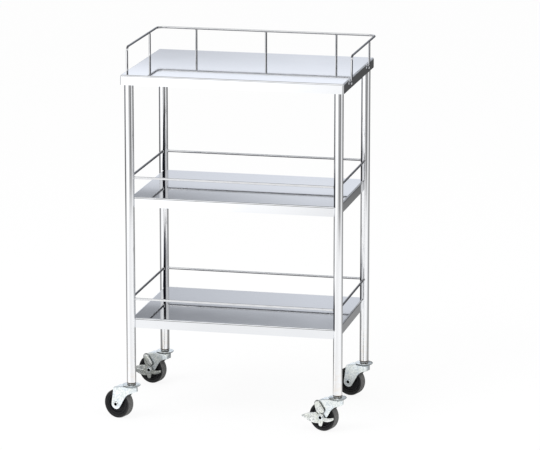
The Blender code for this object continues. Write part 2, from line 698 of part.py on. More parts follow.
# Scoop opposite the pedal, bent up and outwards towards its rounded tip
def wing_stations():
    stations = [(LEVER_ROOT, -WING_DROP - WING_WIDTH / 4, WING_WIDTH / 4, 0.0)]
    for step in range(WING_STEPS + 1):
        share = step / WING_STEPS
        x = LEVER_SHOULDER + (WING_LENGTH - LEVER_SHOULDER) * share
        middle = WING_RISE * share ** 2 - WING_DROP
        half = WING_WIDTH / 2 * cos(share * radians(WING_ROUND))
        stations.append((x, middle - half, middle + half, WING_FLARE * share))
    return stations


def make_brake_lever(corner, zinc, axle):
    inner = -FORK_OUTER - GAP - BRAKE_SHEET - GAP
    outer = inner - LEVER_SHEET
    tab_end = (0, LEVER_TAB_TIP - LEVER_TAB_LENGTH)
    outline = strap_outline((0, 0), LEVER_HUB_RADIUS, tab_end, LEVER_TAB_TIP)
    lever = add_piece(f"brake_lever_{corner}", prism(outline, outer, inner, "xz"), zinc, axle)
    for stations in (pedal_stations(), wing_stations()):
        combine(lever, add_piece("wing", wing_solid(stations, inner, LEVER_SHEET), None, None), "UNION")
    combine(lever, round_cutter("hole", (0, 0, 0), AXLE_HOLE, 2 * outer, 0, "y"), "DIFFERENCE")


def make_casters(finishes, frame):
    fork_mesh = make_fork_mesh(finishes["zinc"])
    for corner, (sx, sy) in CORNERS.items():
        place = (sx * LEG_X, sy * LEG_Y, 0)
        make_insert(corner, finishes["insert"], frame, place)
        make_stem(corner, finishes["zinc"], frame, place)
        swivel = add_empty(f"swivel_{corner}", frame, place, -radians(SWIVEL_REST))
        make_ball_race(corner, finishes["ball"], swivel)
        make_fork(corner, fork_mesh, finishes["zinc"], swivel)
        axle = add_empty(f"hub_{corner}", swivel, (-TRAIL, 0, HUB_HEIGHT))
        stack = FORK_OUTER
        if corner in BRAKED:
            stack += 2 * GAP + BRAKE_SHEET + LEVER_SHEET
            make_brake_plate(corner, finishes["zinc"], axle)
            make_brake_lever(corner, finishes["zinc"], axle)
        make_axle(corner, finishes["zinc"], axle, stack)
        make_wheel(corner, finishes["core"], finishes["rubber"], axle)
    bpy.data.meshes.remove(fork_mesh)


# Stand the cart so that its box is centred over the origin
def centre_over_origin(frame):
    bpy.context.view_layer.update()
    points = []
    for piece in bpy.context.scene.objects:
        if piece.type == "MESH":
            points += [piece.matrix_world @ vert.co for vert in piece.data.vertices]
    for axis in (0, 1):
        low = min(point[axis] for point in points)
        high = max(point[axis] for point in points)
        frame.location[axis] = -(low + high) / 2
    bpy.context.view_layer.update()


def main():
    clear_scene()
    finishes = {
        "steel": finish("polished_steel", (0.78, 0.79, 0.80), 0.12, 1.0),
        "rivet": finish("rivet_steel", (0.72, 0.73, 0.74), 0.25, 1.0),
        "zinc": finish("zinc_plated_steel", (0.74, 0.78, 0.80), 0.32, 1.0),
        "ball": finish("bearing_steel", (0.62, 0.63, 0.65), 0.2, 1.0),
        "insert": finish("insert_plastic", (0.05, 0.05, 0.055), 0.5, 0.0),
        "core": finish("core_plastic", (0.035, 0.035, 0.038), 0.45, 0.0),
        "rubber": finish("tyre_rubber", (0.045, 0.045, 0.047), 0.7, 0.0),
    }
    frame = add_empty("cart_frame")
    make_shelves(finishes["steel"], frame)
    make_legs(finishes["steel"], frame)
    make_rails(finishes["steel"], frame)
    make_guard(finishes["steel"], finishes["rivet"], frame)
    make_casters(finishes, frame)
    centre_over_origin(frame)


main()
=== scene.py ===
from math import acos, atan2, cos, degrees, hypot, pi, radians, sin

import bmesh
import bpy
from mathutils import Matrix, Vector


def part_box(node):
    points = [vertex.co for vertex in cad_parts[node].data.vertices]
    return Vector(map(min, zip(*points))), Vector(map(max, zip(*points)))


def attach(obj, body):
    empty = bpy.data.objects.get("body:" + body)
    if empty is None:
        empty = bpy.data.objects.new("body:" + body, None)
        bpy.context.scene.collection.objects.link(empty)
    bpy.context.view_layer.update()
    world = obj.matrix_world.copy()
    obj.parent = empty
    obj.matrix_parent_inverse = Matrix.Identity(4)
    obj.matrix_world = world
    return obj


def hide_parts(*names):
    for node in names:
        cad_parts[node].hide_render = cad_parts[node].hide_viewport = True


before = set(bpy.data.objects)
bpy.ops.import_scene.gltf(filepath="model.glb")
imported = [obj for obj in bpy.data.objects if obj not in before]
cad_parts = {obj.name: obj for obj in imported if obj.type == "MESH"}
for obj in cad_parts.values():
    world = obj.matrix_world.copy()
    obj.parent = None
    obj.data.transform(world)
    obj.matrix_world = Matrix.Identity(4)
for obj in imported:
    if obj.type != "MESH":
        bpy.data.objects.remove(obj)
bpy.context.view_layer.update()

corners = {"front_left": (-1, -1), "front_right": (1, -1), "back_left": (-1, 1), "back_right": (1, 1)}
brakedCorners = ("front_right", "back_left")
panelLow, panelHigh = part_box("top_panel")
cartMiddle = (panelLow + panelHigh) / 2
topHeight = panelHigh.z


class Wire:  # a socket that takes part in plain maths; any other node comes from its node method
    def __init__(self, tree, socket=None):
        self.tree = tree
        self.socket = socket

    def feed(self, socket, value):
        if isinstance(value, Wire):
            self.tree.links.new(value.socket, socket)
        else:
            socket.default_value = value

    def node(self, kind, sockets=None, out=0, **settings):
        made = self.tree.nodes.new(kind)
        for name, value in settings.items():
            if name == "stops":
                ramp = made.color_ramp
                while len(ramp.elements) < len(value):
                    ramp.elements.new(1.0)
                for element, (position, colour) in zip(ramp.elements, value):
                    element.position = position
                    element.color = colour
            else:
                setattr(made, name, value)
        for name, value in (sockets or {}).items():
            self.feed(made.inputs[name], value)
        return Wire(self.tree, made.outputs[out]) if len(made.outputs) else None

    def maths(self, operation, first, second):
        return self.node("ShaderNodeMath", {0: first, 1: second}, operation=operation)

    def __add__(self, other):
        return self.maths("ADD", self, other)

    def __sub__(self, other):
        return self.maths("SUBTRACT", self, other)

    def __rsub__(self, other):
        return self.maths("SUBTRACT", other, self)

    def __mul__(self, other):
        return self.maths("MULTIPLY", self, other)

    def __truediv__(self, other):
        return self.maths("DIVIDE", self, other)

    def __pow__(self, other):
        return self.maths("POWER", self, other)

    def atMost(self, other):
        return self.maths("MINIMUM", self, other)

    def atLeast(self, other):
        return self.maths("MAXIMUM", self, other)

    def blend(self, first, second):  # a colour between two, this being the share of the second
        return self.node("ShaderNodeMix", {0: self, 6: first, 7: second}, 2, data_type="RGBA")

    def toColour(self, low, high):
        return self.blend((*low, 1.0), (*high, 1.0))

    def tint(self, colour, base):
        return self.blend(base, (*colour, 1.0))

    def parts(self, axes):
        return [self.node("ShaderNodeSeparateXYZ", {"Vector": self}, axis) for axis in axes]

    def mark(self, name):  # a level kept on the points of a mesh
        return self.node("ShaderNodeAttribute", None, "Fac", attribute_name=name)


def newFinish(name):
    material = bpy.data.materials.new(name)
    material.use_nodes = True
    material.node_tree.nodes.clear()
    return material, Wire(material.node_tree)


def closeFinish(start, sockets):
    shader = start.node("ShaderNodeBsdfPrincipled", sockets, "BSDF")
    start.node("ShaderNodeOutputMaterial", {"Surface": shader})


def placeOf(start, scale=(1, 1, 1), source="Object"):
    where = start.node("ShaderNodeTexCoord", None, source)
    return start.node("ShaderNodeMapping", {"Vector": where, "Scale": scale})


def facingOf(start, axes):  # how far the surface looks along each axis
    return start.node("ShaderNodeNewGeometry", None, "Normal").parts(axes)


def grainOf(start, where, scale, detail=2.0):
    return start.node("ShaderNodeTexNoise", {"Vector": where, "Scale": scale, "Detail": detail}, "Fac")


def between(value, ends):  # 0 at the first end, 1 at the last
    return ((value - ends[0]) / (ends[1] - ends[0])).atLeast(0.0).atMost(1.0)


def reliefOf(start, height, distance, strength=1.0, under=None):
    sockets = {"Height": height, "Distance": distance, "Strength": strength}
    if under is not None:
        sockets["Normal"] = under
    return start.node("ShaderNodeBump", sockets, "Normal")


sheetFinish = {
    "dark": (0.80, 0.815, 0.84), "light": (0.87, 0.88, 0.90), "roughness": 0.03, "cloudRough": 0.03,
    "streakRough": 0.01, "cloudScale": 14.0, "waveScale": 5.0, "waveDepth": 0.00006,
    "streaks": (5, 700, 700), "streakDepth": 0.000002,
}


def makeSheetFinish():
    s = sheetFinish
    material, start = newFinish("polishedSheet")
    where = placeOf(start)
    cloud = grainOf(start, where, s["cloudScale"], 4.0)
    streak = grainOf(start, placeOf(start, s["streaks"]), 1.0)
    wave = reliefOf(start, grainOf(start, where, s["waveScale"], 1.0), s["waveDepth"])
    closeFinish(start, {
        "Base Color": (cloud * 0.6 + streak * 0.4).toColour(s["dark"], s["light"]),
        "Metallic": 1.0,
        "Roughness": cloud * s["cloudRough"] + streak * s["streakRough"] + s["roughness"],
        "Normal": reliefOf(start, streak, s["streakDepth"], 0.5, wave),
    })
    return material


tubeFinish = {
    "dark": (0.80, 0.81, 0.83), "light": (0.88, 0.885, 0.90), "roughness": 0.05, "cloudScale": 22.0,
    "streaks": (420, 420, 5), "streakDepth": 0.000004, "film": (0.80, 0.70, 0.58), "patchTintFrom": (0.22, 0.10),
    "patchTintMost": 0.45, "patchTintScale": 90.0, "patchTintEdge": (0.42, 0.68),
    "stripe": (0.022, 0.024, 0.034), "shelfLow": 0.272, "shelfEvery": 0.320, "shelfEdge": (-0.004, 0.0),
    "ragged": 0.12, "taper": 2.3, "frontOnly": (0.0, -0.15),
    "middle": {"left": (-0.15, -0.05), "right": (0.60, 0.50), "tall": (0.22, 0.15)},
    "edge": {"left": (-0.44, -0.56), "tall": (0.14, 0.06)},
}


def stripeOf(start, height, cloud):  # the dark that a leg mirrors just above each shelf
    s = tubeFinish
    middle, edge = s["middle"], s["edge"]
    right, back = facingOf(start, "XY")
    right = right + (cloud - 0.5) * s["ragged"]
    lift = start.maths("MODULO", height - s["shelfLow"], s["shelfEvery"])
    side = start.mark("stripe")
    onMiddle = between(right - lift * s["taper"], middle["left"]) * between(right, middle["right"])
    onMiddle = onMiddle * between(lift, middle["tall"]) * side.atLeast(0.0)
    onEdge = between(right, edge["left"]) * between(lift, edge["tall"]) * (side * -1.0).atLeast(0.0)
    return (onMiddle + onEdge) * between(lift, s["shelfEdge"]) * between(back, s["frontOnly"])


def makeTubeFinish():
    s = tubeFinish
    material, start = newFinish("polishedTube")
    where = placeOf(start)
    height, = where.parts("Z")
    streak = grainOf(start, placeOf(start, s["streaks"]), 1.0, 3.0)
    cloud = grainOf(start, where, s["cloudScale"], 3.0)
    patches = between(grainOf(start, where, s["patchTintScale"], 4.0), s["patchTintEdge"])
    # a tan tint in patches, growing towards the foot of each leg
    film = between(height, s["patchTintFrom"]) * patches
    polished = (streak * 0.5 + cloud * 0.5).toColour(s["dark"], s["light"])
    patchTinted = (film * s["patchTintMost"]).tint(s["film"], polished)
    closeFinish(start, {
        "Base Color": stripeOf(start, height, cloud).tint(s["stripe"], patchTinted),
        "Metallic": 1.0,
        "Roughness": streak * 0.05 + cloud * 0.03 + s["roughness"],
        "Normal": reliefOf(start, streak, s["streakDepth"], 0.6),
    })
    return material


rodFinish = {
    "dark": (0.78, 0.79, 0.81), "light": (0.88, 0.885, 0.90), "roughness": 0.06, "cloudScale": 60.0,
    "streaks": (26, 9, 1), "streakDepth": 0.000006, "under": (0.055, 0.057, 0.07),
    "underFrom": (-0.10, -0.24), "ragged": 0.1, "dimMost": 0.85, "rightFrom": (0.38, 0.58),
    "upright": (0.15, 0.05),
}


def makeRodFinish():
    s = rodFinish
    material, start = newFinish("polishedRod")
    streak = grainOf(start, placeOf(start, s["streaks"], "UV"), 1.0, 3.0)
    cloud = grainOf(start, placeOf(start), s["cloudScale"])
    polished = (streak * 0.6 + cloud * 0.4).toColour(s["dark"], s["light"])
    height, right = facingOf(start, "ZX")
    lit = start.mark("lit")  # painted reflection levels: 1 lit from below, 0 dark below, -1 dim all round
    below = between(height + (cloud - 0.5) * s["ragged"], s["underFrom"]) * (1.0 - lit)
    upright = between(start.maths("ABSOLUTE", height, 0.0), s["upright"])
    aside = between(right, s["rightFrom"]) * upright
    # painted reflection: the base colour turns dark on undersides, on the right side of upright posts and on
    # dim runs, where the polished rods would mirror a dark room
    dark = below.atLeast(lit * -s["dimMost"]).atLeast(aside).atMost(1.0)
    closeFinish(start, {
        "Base Color": dark.tint(s["under"], polished),
        "Metallic": 1.0,
        "Roughness": streak * 0.04 + cloud * 0.02 + s["roughness"],
        "Normal": reliefOf(start, streak, s["streakDepth"], 0.6),
    })
    return material


studFinish = {
    "rivetSteel": {"dark": (0.62, 0.63, 0.65), "light": (0.80, 0.81, 0.83), "roughness": 0.2},
    "weldBead": {"dark": (0.66, 0.66, 0.66), "light": (0.84, 0.845, 0.86), "roughness": 0.16},
    "ballSteel": {"dark": (0.66, 0.67, 0.69), "light": (0.78, 0.79, 0.80), "roughness": 0.1},
    "fineScale": 900.0, "fineDepth": 0.00002, "cloudScale": 160.0,
}


def makeStudFinish(name):
    s, own = studFinish, studFinish[name]
    material, start = newFinish(name)
    fine = grainOf(start, placeOf(start), s["fineScale"], 3.0)
    cloud = grainOf(start, placeOf(start), s["cloudScale"])
    closeFinish(start, {
        "Base Color": (fine * 0.4 + cloud * 0.6).toColour(own["dark"], own["light"]),
        "Metallic": 1.0,
        "Roughness": fine * 0.12 + own["roughness"],
        "Normal": reliefOf(start, fine, s["fineDepth"], 0.4),
    })
    return material


zincFinish = {
    "zincPlate": {
        "dark": (0.58, 0.65, 0.69), "light": (0.93, 0.97, 0.98), "film": (0.78, 0.80, 0.70), "patchTintMost": 0.25,
        "roughness": 0.20, "mottle": 240.0, "dent": 0.00010, "grime": 0.75,
        "paintedShadeColour": (0.10, 0.105, 0.11)},
    "brakeZinc": {
        "dark": (0.38, 0.41, 0.41), "light": (0.95, 0.97, 0.95), "film": (0.72, 0.75, 0.64), "patchTintMost": 0.3,
        "roughness": 0.16, "mottle": 300.0, "dent": 0.00036, "grime": 0.85,
        "paintedShadeColour": (0.05, 0.053, 0.055)},
    "spangle": 520.0, "cloudScale": 70.0, "patch": (0.40, 0.56), "grain": 1500.0, "grainDepth": 0.00002,
    "patchTintScale": 60.0, "patchTintFrom": 0.48, "patchTintGain": 4.0, "bore": (0.012, 0.012, 0.013),
}


def makeZincFinish(name):
    s, own = zincFinish, zincFinish[name]
    material, start = newFinish(name)
    where = placeOf(start)
    cells = start.node("ShaderNodeTexVoronoi", {"Vector": where, "Scale": s["spangle"]}, "Color")
    flake = start.node("ShaderNodeSeparateColor", {"Color": cells}, "Red")
    cloud = grainOf(start, where, s["cloudScale"], 3.0)
    mottle = grainOf(start, where, own["mottle"], 3.0)
    patches = between(mottle * 0.7 + cloud * 0.3, s["patch"])
    plate = (flake * 0.2 + patches * 0.8).toColour(own["dark"], own["light"])
    film = (grainOf(start, where, s["patchTintScale"]) - s["patchTintFrom"]) * s["patchTintGain"]
    patchTinted = film.atLeast(0.0).atMost(own["patchTintMost"]).tint(own["film"], plate)
    # painted shade: the zinc is darkened where the mesh is marked crease, in hollow corners, along sheet
    # edges and under the race's rim
    shadePainted = (start.mark("crease") * own["grime"]).tint(own["paintedShadeColour"], patchTinted)
    dents = reliefOf(start, mottle, own["dent"], 0.7)
    closeFinish(start, {
        # painted shade: near black inside the axle's bore
        "Base Color": start.mark("bore").tint(s["bore"], shadePainted),
        "Metallic": 1.0,
        "Roughness": flake * 0.05 + cloud * 0.08 + own["roughness"],
        "Normal": reliefOf(start, grainOf(start, where, s["grain"]), s["grainDepth"], 0.35, dents),
    })
    return material


plasticFinish = {
    "corePlastic": {
        "dark": (0.006, 0.006, 0.007), "light": (0.020, 0.020, 0.022), "roughness": 0.38, "sheen": 0.16},
    "insertPlastic": {
        "dark": (0.045, 0.034, 0.026), "light": (0.10, 0.078, 0.060), "roughness": 0.42, "sheen": 0.3},
    "pebbleScale": 1300.0, "pebbleDepth": 0.00004, "cloudScale": 55.0,
}


def makePlasticFinish(name):
    s, own = plasticFinish, plasticFinish[name]
    material, start = newFinish(name)
    where = placeOf(start)
    pebble = grainOf(start, where, s["pebbleScale"])
    cloud = grainOf(start, where, s["cloudScale"], 3.0)
    closeFinish(start, {
        "Base Color": (pebble * 0.4 + cloud * 0.6).toColour(own["dark"], own["light"]),
        "Roughness": pebble * 0.1 + cloud * 0.12 + own["roughness"],
        "Specular IOR Level": own["sheen"],
        "Normal": reliefOf(start, pebble, s["pebbleDepth"], 0.5),
    })
    return material


rubberFinish = {
    "side": (0.009, 0.009, 0.010), "sideLight": (0.022, 0.022, 0.023), "tread": (0.12, 0.12, 0.118),
    "dust": (0.17, 0.165, 0.155), "dustFrom": 0.55, "dustGain": 3.0, "dustMost": 0.5, "roughness": 0.5,
    "sheen": 0.2, "cloudScale": 90.0, "pebbleScale": 1600.0, "pebbleDepth": 0.00006,
}


def makeRubberFinish():
    s = rubberFinish
    material, start = newFinish("tyreRubber")
    where = placeOf(start)
    tread = start.mark("tread")
    cloud = grainOf(start, where, s["cloudScale"], 4.0)
    pebble = grainOf(start, where, s["pebbleScale"])
    side = cloud.toColour(s["side"], s["sideLight"])
    worn = (tread * (cloud * 0.5 + 0.72)).atMost(1.0).tint(s["tread"], side)
    dust = ((cloud - s["dustFrom"]) * s["dustGain"]).atLeast(0.0).atMost(s["dustMost"]) * tread
    closeFinish(start, {
        "Base Color": dust.tint(s["dust"], worn),
        "Roughness": tread * 0.22 + pebble * 0.1 + s["roughness"],
        "Specular IOR Level": s["sheen"],
        "Normal": reliefOf(start, pebble * (tread * 0.6 + 0.4), s["pebbleDepth"], 0.5),
    })
    return material


finishes = {
    "sheet": makeSheetFinish(),
    "tube": makeTubeFinish(),
    "rod": makeRodFinish(),
    "rivet": makeStudFinish("rivetSteel"),
    "weld": makeStudFinish("weldBead"),
    "ball": makeStudFinish("ballSteel"),
    "zinc": makeZincFinish("zincPlate"),
    "brakeZinc": makeZincFinish("brakeZinc"),
    "core": makePlasticFinish("corePlastic"),
    "insert": makePlasticFinish("insertPlastic"),
    "rubber": makeRubberFinish(),
}
print("finishes:", ", ".join(finishes))

sharpFrom = {"folded": 35, "turned": 40, "rod": 50, "soft": 60}  # degrees from which an edge stays crisp
tiny = 1e-7


def camel(name):
    first, *rest = name.split("_")
    return first + "".join(word.capitalize() for word in rest)


def linked(name, data):
    item = bpy.data.objects.new(name, data)
    bpy.context.scene.collection.objects.link(item)
    return item


def crisped(mesh, kind):
    mesh.shade_smooth()
    mesh.set_sharp_from_angle(angle=radians(sharpFrom[kind]))


def pieceFrom(name, mesh, material, kind="folded"):
    if material is not None:
        mesh.materials.clear()
        mesh.materials.append(material)
    crisped(mesh, kind)
    return linked(name, mesh)


def meshFrom(name, bm):
    bmesh.ops.remove_doubles(bm, verts=bm.verts, dist=tiny)
    bmesh.ops.recalc_face_normals(bm, faces=bm.faces)
    mesh = bpy.data.meshes.new(name)
    bm.to_mesh(mesh)
    bm.free()
    return mesh


def marked(mesh, name, levels):  # one level for every point, read by the finishes
    mesh.attributes.new(name, "FLOAT", "POINT").data.foreach_set("value", levels)
    return mesh


def eased(share):
    return share * share * (3 - 2 * share)


def sharesOf(steps):  # from 0 to 1 in even steps
    return [step / steps for step in range(steps + 1)]


def plainMesh(piece):  # modifiers applied, back to a bare mesh
    bpy.context.view_layer.update()
    graph = bpy.context.evaluated_depsgraph_get()
    mesh = bpy.data.meshes.new_from_object(piece.evaluated_get(graph))
    piece.modifiers.clear()
    piece.data = mesh
    return piece


def evened(piece):  # broad faces keep their own flatness beside narrow rounded edges
    weighted = piece.modifiers.new("evened", "WEIGHTED_NORMAL")
    weighted.mode = "FACE_AREA"
    weighted.weight = 80
    weighted.keep_sharp = True
    return plainMesh(piece)


def combine(piece, other, operation):
    boolean = piece.modifiers.new(operation, "BOOLEAN")
    boolean.operation = operation
    boolean.solver = "EXACT"
    boolean.object = other
    plainMesh(piece)
    bpy.data.objects.remove(other, do_unlink=True)
    return piece


def rounded(bm, edges, radius, steps):
    bmesh.ops.bevel(bm, geom=edges, offset=radius, offset_type="OFFSET", segments=steps, profile=0.5,
                    affect="EDGES", clamp_overlap=True)


def dress(piece, body, slot, *nodes):
    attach(piece, body)
    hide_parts(*nodes)


def arc(centre, radius, start, end, steps):
    angles = [radians(start + (end - start) * step / steps) for step in range(steps + 1)]
    return [(centre[0] + radius * cos(angle), centre[1] + radius * sin(angle)) for angle in angles]


def softened(points, radius, steps, closed=False):  # every corner of a line rounded off
    line = []
    count = len(points)
    for index, point in enumerate(points):
        if not closed and index in (0, count - 1):
            line.append(point)
            continue
        here = Vector(point)
        before, after = Vector(points[index - 1]) - here, Vector(points[(index + 1) % count]) - here
        cut = min(radius, before.length * 0.45, after.length * 0.45)  # stays short of half-way
        first, last = here + before.normalized() * cut, here + after.normalized() * cut
        for share in sharesOf(steps):
            spot = first * (1 - share) ** 2 + here * (2 * share * (1 - share)) + last * share ** 2
            line.append((spot.x, spot.y))
    return line


def lathe(profile, sides, axis="z", closed=False):  # profile points are (radius, along)
    bm = bmesh.new()
    rows = []
    for radius, along in profile:
        row = []
        for side in range(1 if radius < tiny else sides):
            angle = 2 * pi * side / sides
            across, deep = radius * cos(angle), radius * sin(angle)
            row.append(bm.verts.new((across, along, deep) if axis == "y" else (across, deep, along)))
        rows.append(row)
    pairs = list(zip(rows, rows[1:])) + ([(rows[-1], rows[0])] if closed else [])
    for low, high in pairs:
        for side in range(sides):
            after = (side + 1) % sides
            turns = ((low, side), (low, after), (high, after), (high, side))
            ring = [row[turn % len(row)] for row, turn in turns]
            ring = [vert for index, vert in enumerate(ring) if vert not in ring[:index]]
            if len(ring) > 2:
                bm.faces.new(ring)
    return bm


def skinned(bm, loops):  # faces from loop to loop, and one over each end
    for lower, upper in zip(loops, loops[1:]):
        for index in range(len(lower)):
            after = (index + 1) % len(lower)
            bm.faces.new((lower[index], lower[after], upper[after], upper[index]))
    for loop in (loops[0], loops[-1]):
        bm.faces.new(loop)
    return bm


def prism(outline, low, high, plane):  # "xz" runs along y, "xy" runs along z
    bm = bmesh.new()
    spot = {"xz": lambda u, v, w: (u, w, v), "xy": lambda u, v, w: (u, v, w)}[plane]
    return skinned(bm, [[bm.verts.new(spot(u, v, end)) for u, v in outline] for end in (low, high)])


def sweptRod(rings, sides):  # rings of (centre, across, through, half across, half through)
    bm = bmesh.new()
    uvLayer = bm.loops.layers.uv.new("along")  # its length runs up the map
    angles = [2 * pi * (side + 0.5) / sides for side in range(sides)]
    loops, travelled = [], [0.0]
    for index, (centre, across, through, halfAcross, halfThrough) in enumerate(rings):
        loops.append([])
        for angle in angles:
            spot = centre + across * (halfAcross * cos(angle)) + through * (halfThrough * sin(angle))
            loops[-1].append(bm.verts.new(spot))
        if index:
            travelled.append(travelled[-1] + (centre - rings[index - 1][0]).length)
    for index in range(len(loops) - 1):
        for side in range(sides):
            after = (side + 1) % sides
            face = bm.faces.new((loops[index][side], loops[index][after],
                                 loops[index + 1][after], loops[index + 1][side]))
            spots = ((side, index), (side + 1, index), (side + 1, index + 1), (side, index + 1))
            for corner, (turn, row) in zip(face.loops, spots):
                corner[uvLayer].uv = (turn / sides, travelled[row])
    for loop in (loops[0], loops[-1]):
        bm.faces.new(loop)
    return bm


def solidPiece(bm):
    return pieceFrom("blank", meshFrom("blank", bm), None)


def roundTool(centre, radius, low, high, axis="z", sides=48):
    bm = lathe([(0, low), (radius, low), (radius, high), (0, high)], sides, axis)
    bmesh.ops.translate(bm, verts=bm.verts, vec=centre)
    return solidPiece(bm)


def voxelSmoothed(piece, settings):  # the mesh alone, with pressed-metal softness on every edge
    remesh = piece.modifiers.new("voxels", "REMESH")
    remesh.mode = "VOXEL"
    remesh.voxel_size = settings["voxel"]
    remesh.use_smooth_shade = True
    smooth = piece.modifiers.new("soften", "SMOOTH")
    smooth.factor = 0.5
    smooth.iterations = settings["rounds"]
    thin = piece.modifiers.new("thin", "DECIMATE")
    thin.ratio = settings["keep"]
    mesh = plainMesh(piece).data
    bpy.data.objects.remove(piece, do_unlink=True)
    return mesh


def newTree(name, lengths, counts=()):
    tree = bpy.data.node_groups.new(name, "GeometryNodeTree")
    inputs = {"Geometry": "Geometry", **dict.fromkeys(counts, "Int"), **dict.fromkeys(lengths, "Float")}
    for label, kind in {**inputs, "Material": "Material"}.items():
        tree.interface.new_socket(label, in_out="INPUT", socket_type=f"NodeSocket{kind}")
    tree.interface.new_socket("Geometry", in_out="OUTPUT", socket_type="NodeSocketGeometry")
    source = tree.nodes.new("NodeGroupInput")
    return tree, Wire(tree), {socket.name: Wire(tree, socket) for socket in source.outputs}


def endTree(tree, geometry, material):
    start = Wire(tree)
    solid = start.node("GeometryNodeRealizeInstances", {"Geometry": geometry})
    shaded = start.node("GeometryNodeSetShadeSmooth", {"Geometry": solid})
    dressed = start.node("GeometryNodeSetMaterial", {"Geometry": shaded, "Material": material})
    start.node("NodeGroupOutput", {"Geometry": dressed})
    return tree


def grown(name, mesh, tree, values):
    piece = linked(name, mesh)
    modifier = piece.modifiers.new(tree.name, "NODES")
    modifier.node_group = tree
    for item in tree.interface.items_tree:
        if item.item_type == "SOCKET" and item.in_out == "INPUT" and item.name in values:
            modifier[item.identifier] = values[item.name]
    return plainMesh(piece)


def pointMesh(name, spots):  # spots of (place, facing)
    mesh = bpy.data.meshes.new(name)
    mesh.from_pydata([place for place, facing in spots], [], [])
    facings = mesh.attributes.new("facing", "FLOAT_VECTOR", "POINT")
    for index, (place, facing) in enumerate(spots):
        facings.data[index].vector = facing
    return mesh


def edgeMesh(name, runs):  # runs of (start, end, lit)
    mesh = bpy.data.meshes.new(name)
    pairs = [(2 * index, 2 * index + 1) for index in range(len(runs))]
    mesh.from_pydata([spot for run in runs for spot in run[:2]], pairs, [])
    return marked(mesh, "lit", [run[2] for run in runs for end in run[:2]])


def studded(start, sources, stud):
    facing = start.node("GeometryNodeInputNamedAttribute", {"Name": "facing"}, data_type="FLOAT_VECTOR")
    turn = start.node("FunctionNodeAlignRotationToVector", {"Vector": facing}, axis="Z")
    return start.node("GeometryNodeInstanceOnPoints",
                      {"Points": sources["Geometry"], "Instance": stud, "Rotation": turn})


def makeRivetTree():
    tree, start, sources = newTree("rivetHeads", ("Head Radius", "Head Height"))
    radius = sources["Head Radius"]
    ball = start.node("GeometryNodeMeshUVSphere", {"Segments": 24, "Rings": 12, "Radius": radius})
    flat = start.node("ShaderNodeCombineXYZ", {"X": 1.0, "Y": 1.0, "Z": sources["Head Height"] / radius})
    dome = start.node("GeometryNodeTransform", {"Geometry": ball, "Scale": flat})
    return endTree(tree, studded(start, sources, dome), sources["Material"])


def makeWeldTree():
    tree, start, sources = newTree("weldRings", ("Ring Radius", "Bead Radius"))
    circle = "GeometryNodeCurvePrimitiveCircle"
    ring = start.node(circle, {"Resolution": 20, "Radius": sources["Ring Radius"]})
    bead = start.node(circle, {"Resolution": 10, "Radius": sources["Bead Radius"]})
    torus = start.node("GeometryNodeCurveToMesh", {"Curve": ring, "Profile Curve": bead})
    return endTree(tree, studded(start, sources, torus), sources["Material"])


def makeBallTree():
    tree, start, sources = newTree("ballRing", ("Pitch Radius", "Ball Radius", "Height"), ("Balls",))
    pitch, radius = sources["Pitch Radius"], sources["Ball Radius"]
    ring = start.node("GeometryNodeMeshCircle", {"Vertices": sources["Balls"], "Radius": pitch})
    lift = start.node("ShaderNodeCombineXYZ", {"Z": sources["Height"]})
    ring = start.node("GeometryNodeTransform", {"Geometry": ring, "Translation": lift})
    ball = start.node("GeometryNodeMeshUVSphere", {"Segments": 14, "Rings": 8, "Radius": radius})
    balls = start.node("GeometryNodeInstanceOnPoints", {"Points": ring, "Instance": ball})
    return endTree(tree, balls, sources["Material"])


shelfShape = {"sheet": 0.0012, "edgeRadius": 0.004, "edgeSteps": 6, "copeGap": 0.0003, "copeSides": 64}


def makeShelf(node, coped):
    low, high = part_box(node)
    size, middle = high - low, (low + high) / 2
    bm = bmesh.new()
    bmesh.ops.create_cube(bm, size=1.0)
    bmesh.ops.scale(bm, verts=bm.verts, vec=size)
    bmesh.ops.translate(bm, verts=bm.verts, vec=middle)
    folds = [edge for edge in bm.edges if max(vert.co.z for vert in edge.verts) > middle.z]
    rounded(bm, folds, shelfShape["edgeRadius"], shelfShape["edgeSteps"])
    bmesh.ops.delete(bm, geom=[face for face in bm.faces if face.normal.z < -0.9], context="FACES")
    piece = pieceFrom(camel(node), meshFrom(node, bm), finishes["sheet"])
    wall = piece.modifiers.new("sheet", "SOLIDIFY")
    wall.thickness = shelfShape["sheet"]
    wall.offset = -1
    wall.use_even_offset = True
    plainMesh(piece)
    if coped:
        for corner in corners:
            legLow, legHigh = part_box(f"leg_{corner}")
            axis = (legLow + legHigh) / 2
            radius = (legHigh.x - legLow.x) / 2 + shelfShape["copeGap"]
            below, above = low.z - size.z, high.z + size.z
            tool = roundTool((axis.x, axis.y, 0), radius, below, above, "z", shelfShape["copeSides"])
            combine(piece, tool, "DIFFERENCE")
    crisped(piece.data, "folded")
    dress(evened(piece), "cart_frame", "shelf_steel", node)


makeShelf("top_panel", False)
makeShelf("middle_shelf", True)
makeShelf("bottom_shelf", True)
print("shelves: folded sheets with rounded edges")

legShape = {
    "wall": 0.0012, "sides": 64, "edge": 0.0003,
    "stripe": {"front_left": 0.0, "front_right": -1.0, "back_left": 1.0, "back_right": -1.0},
}


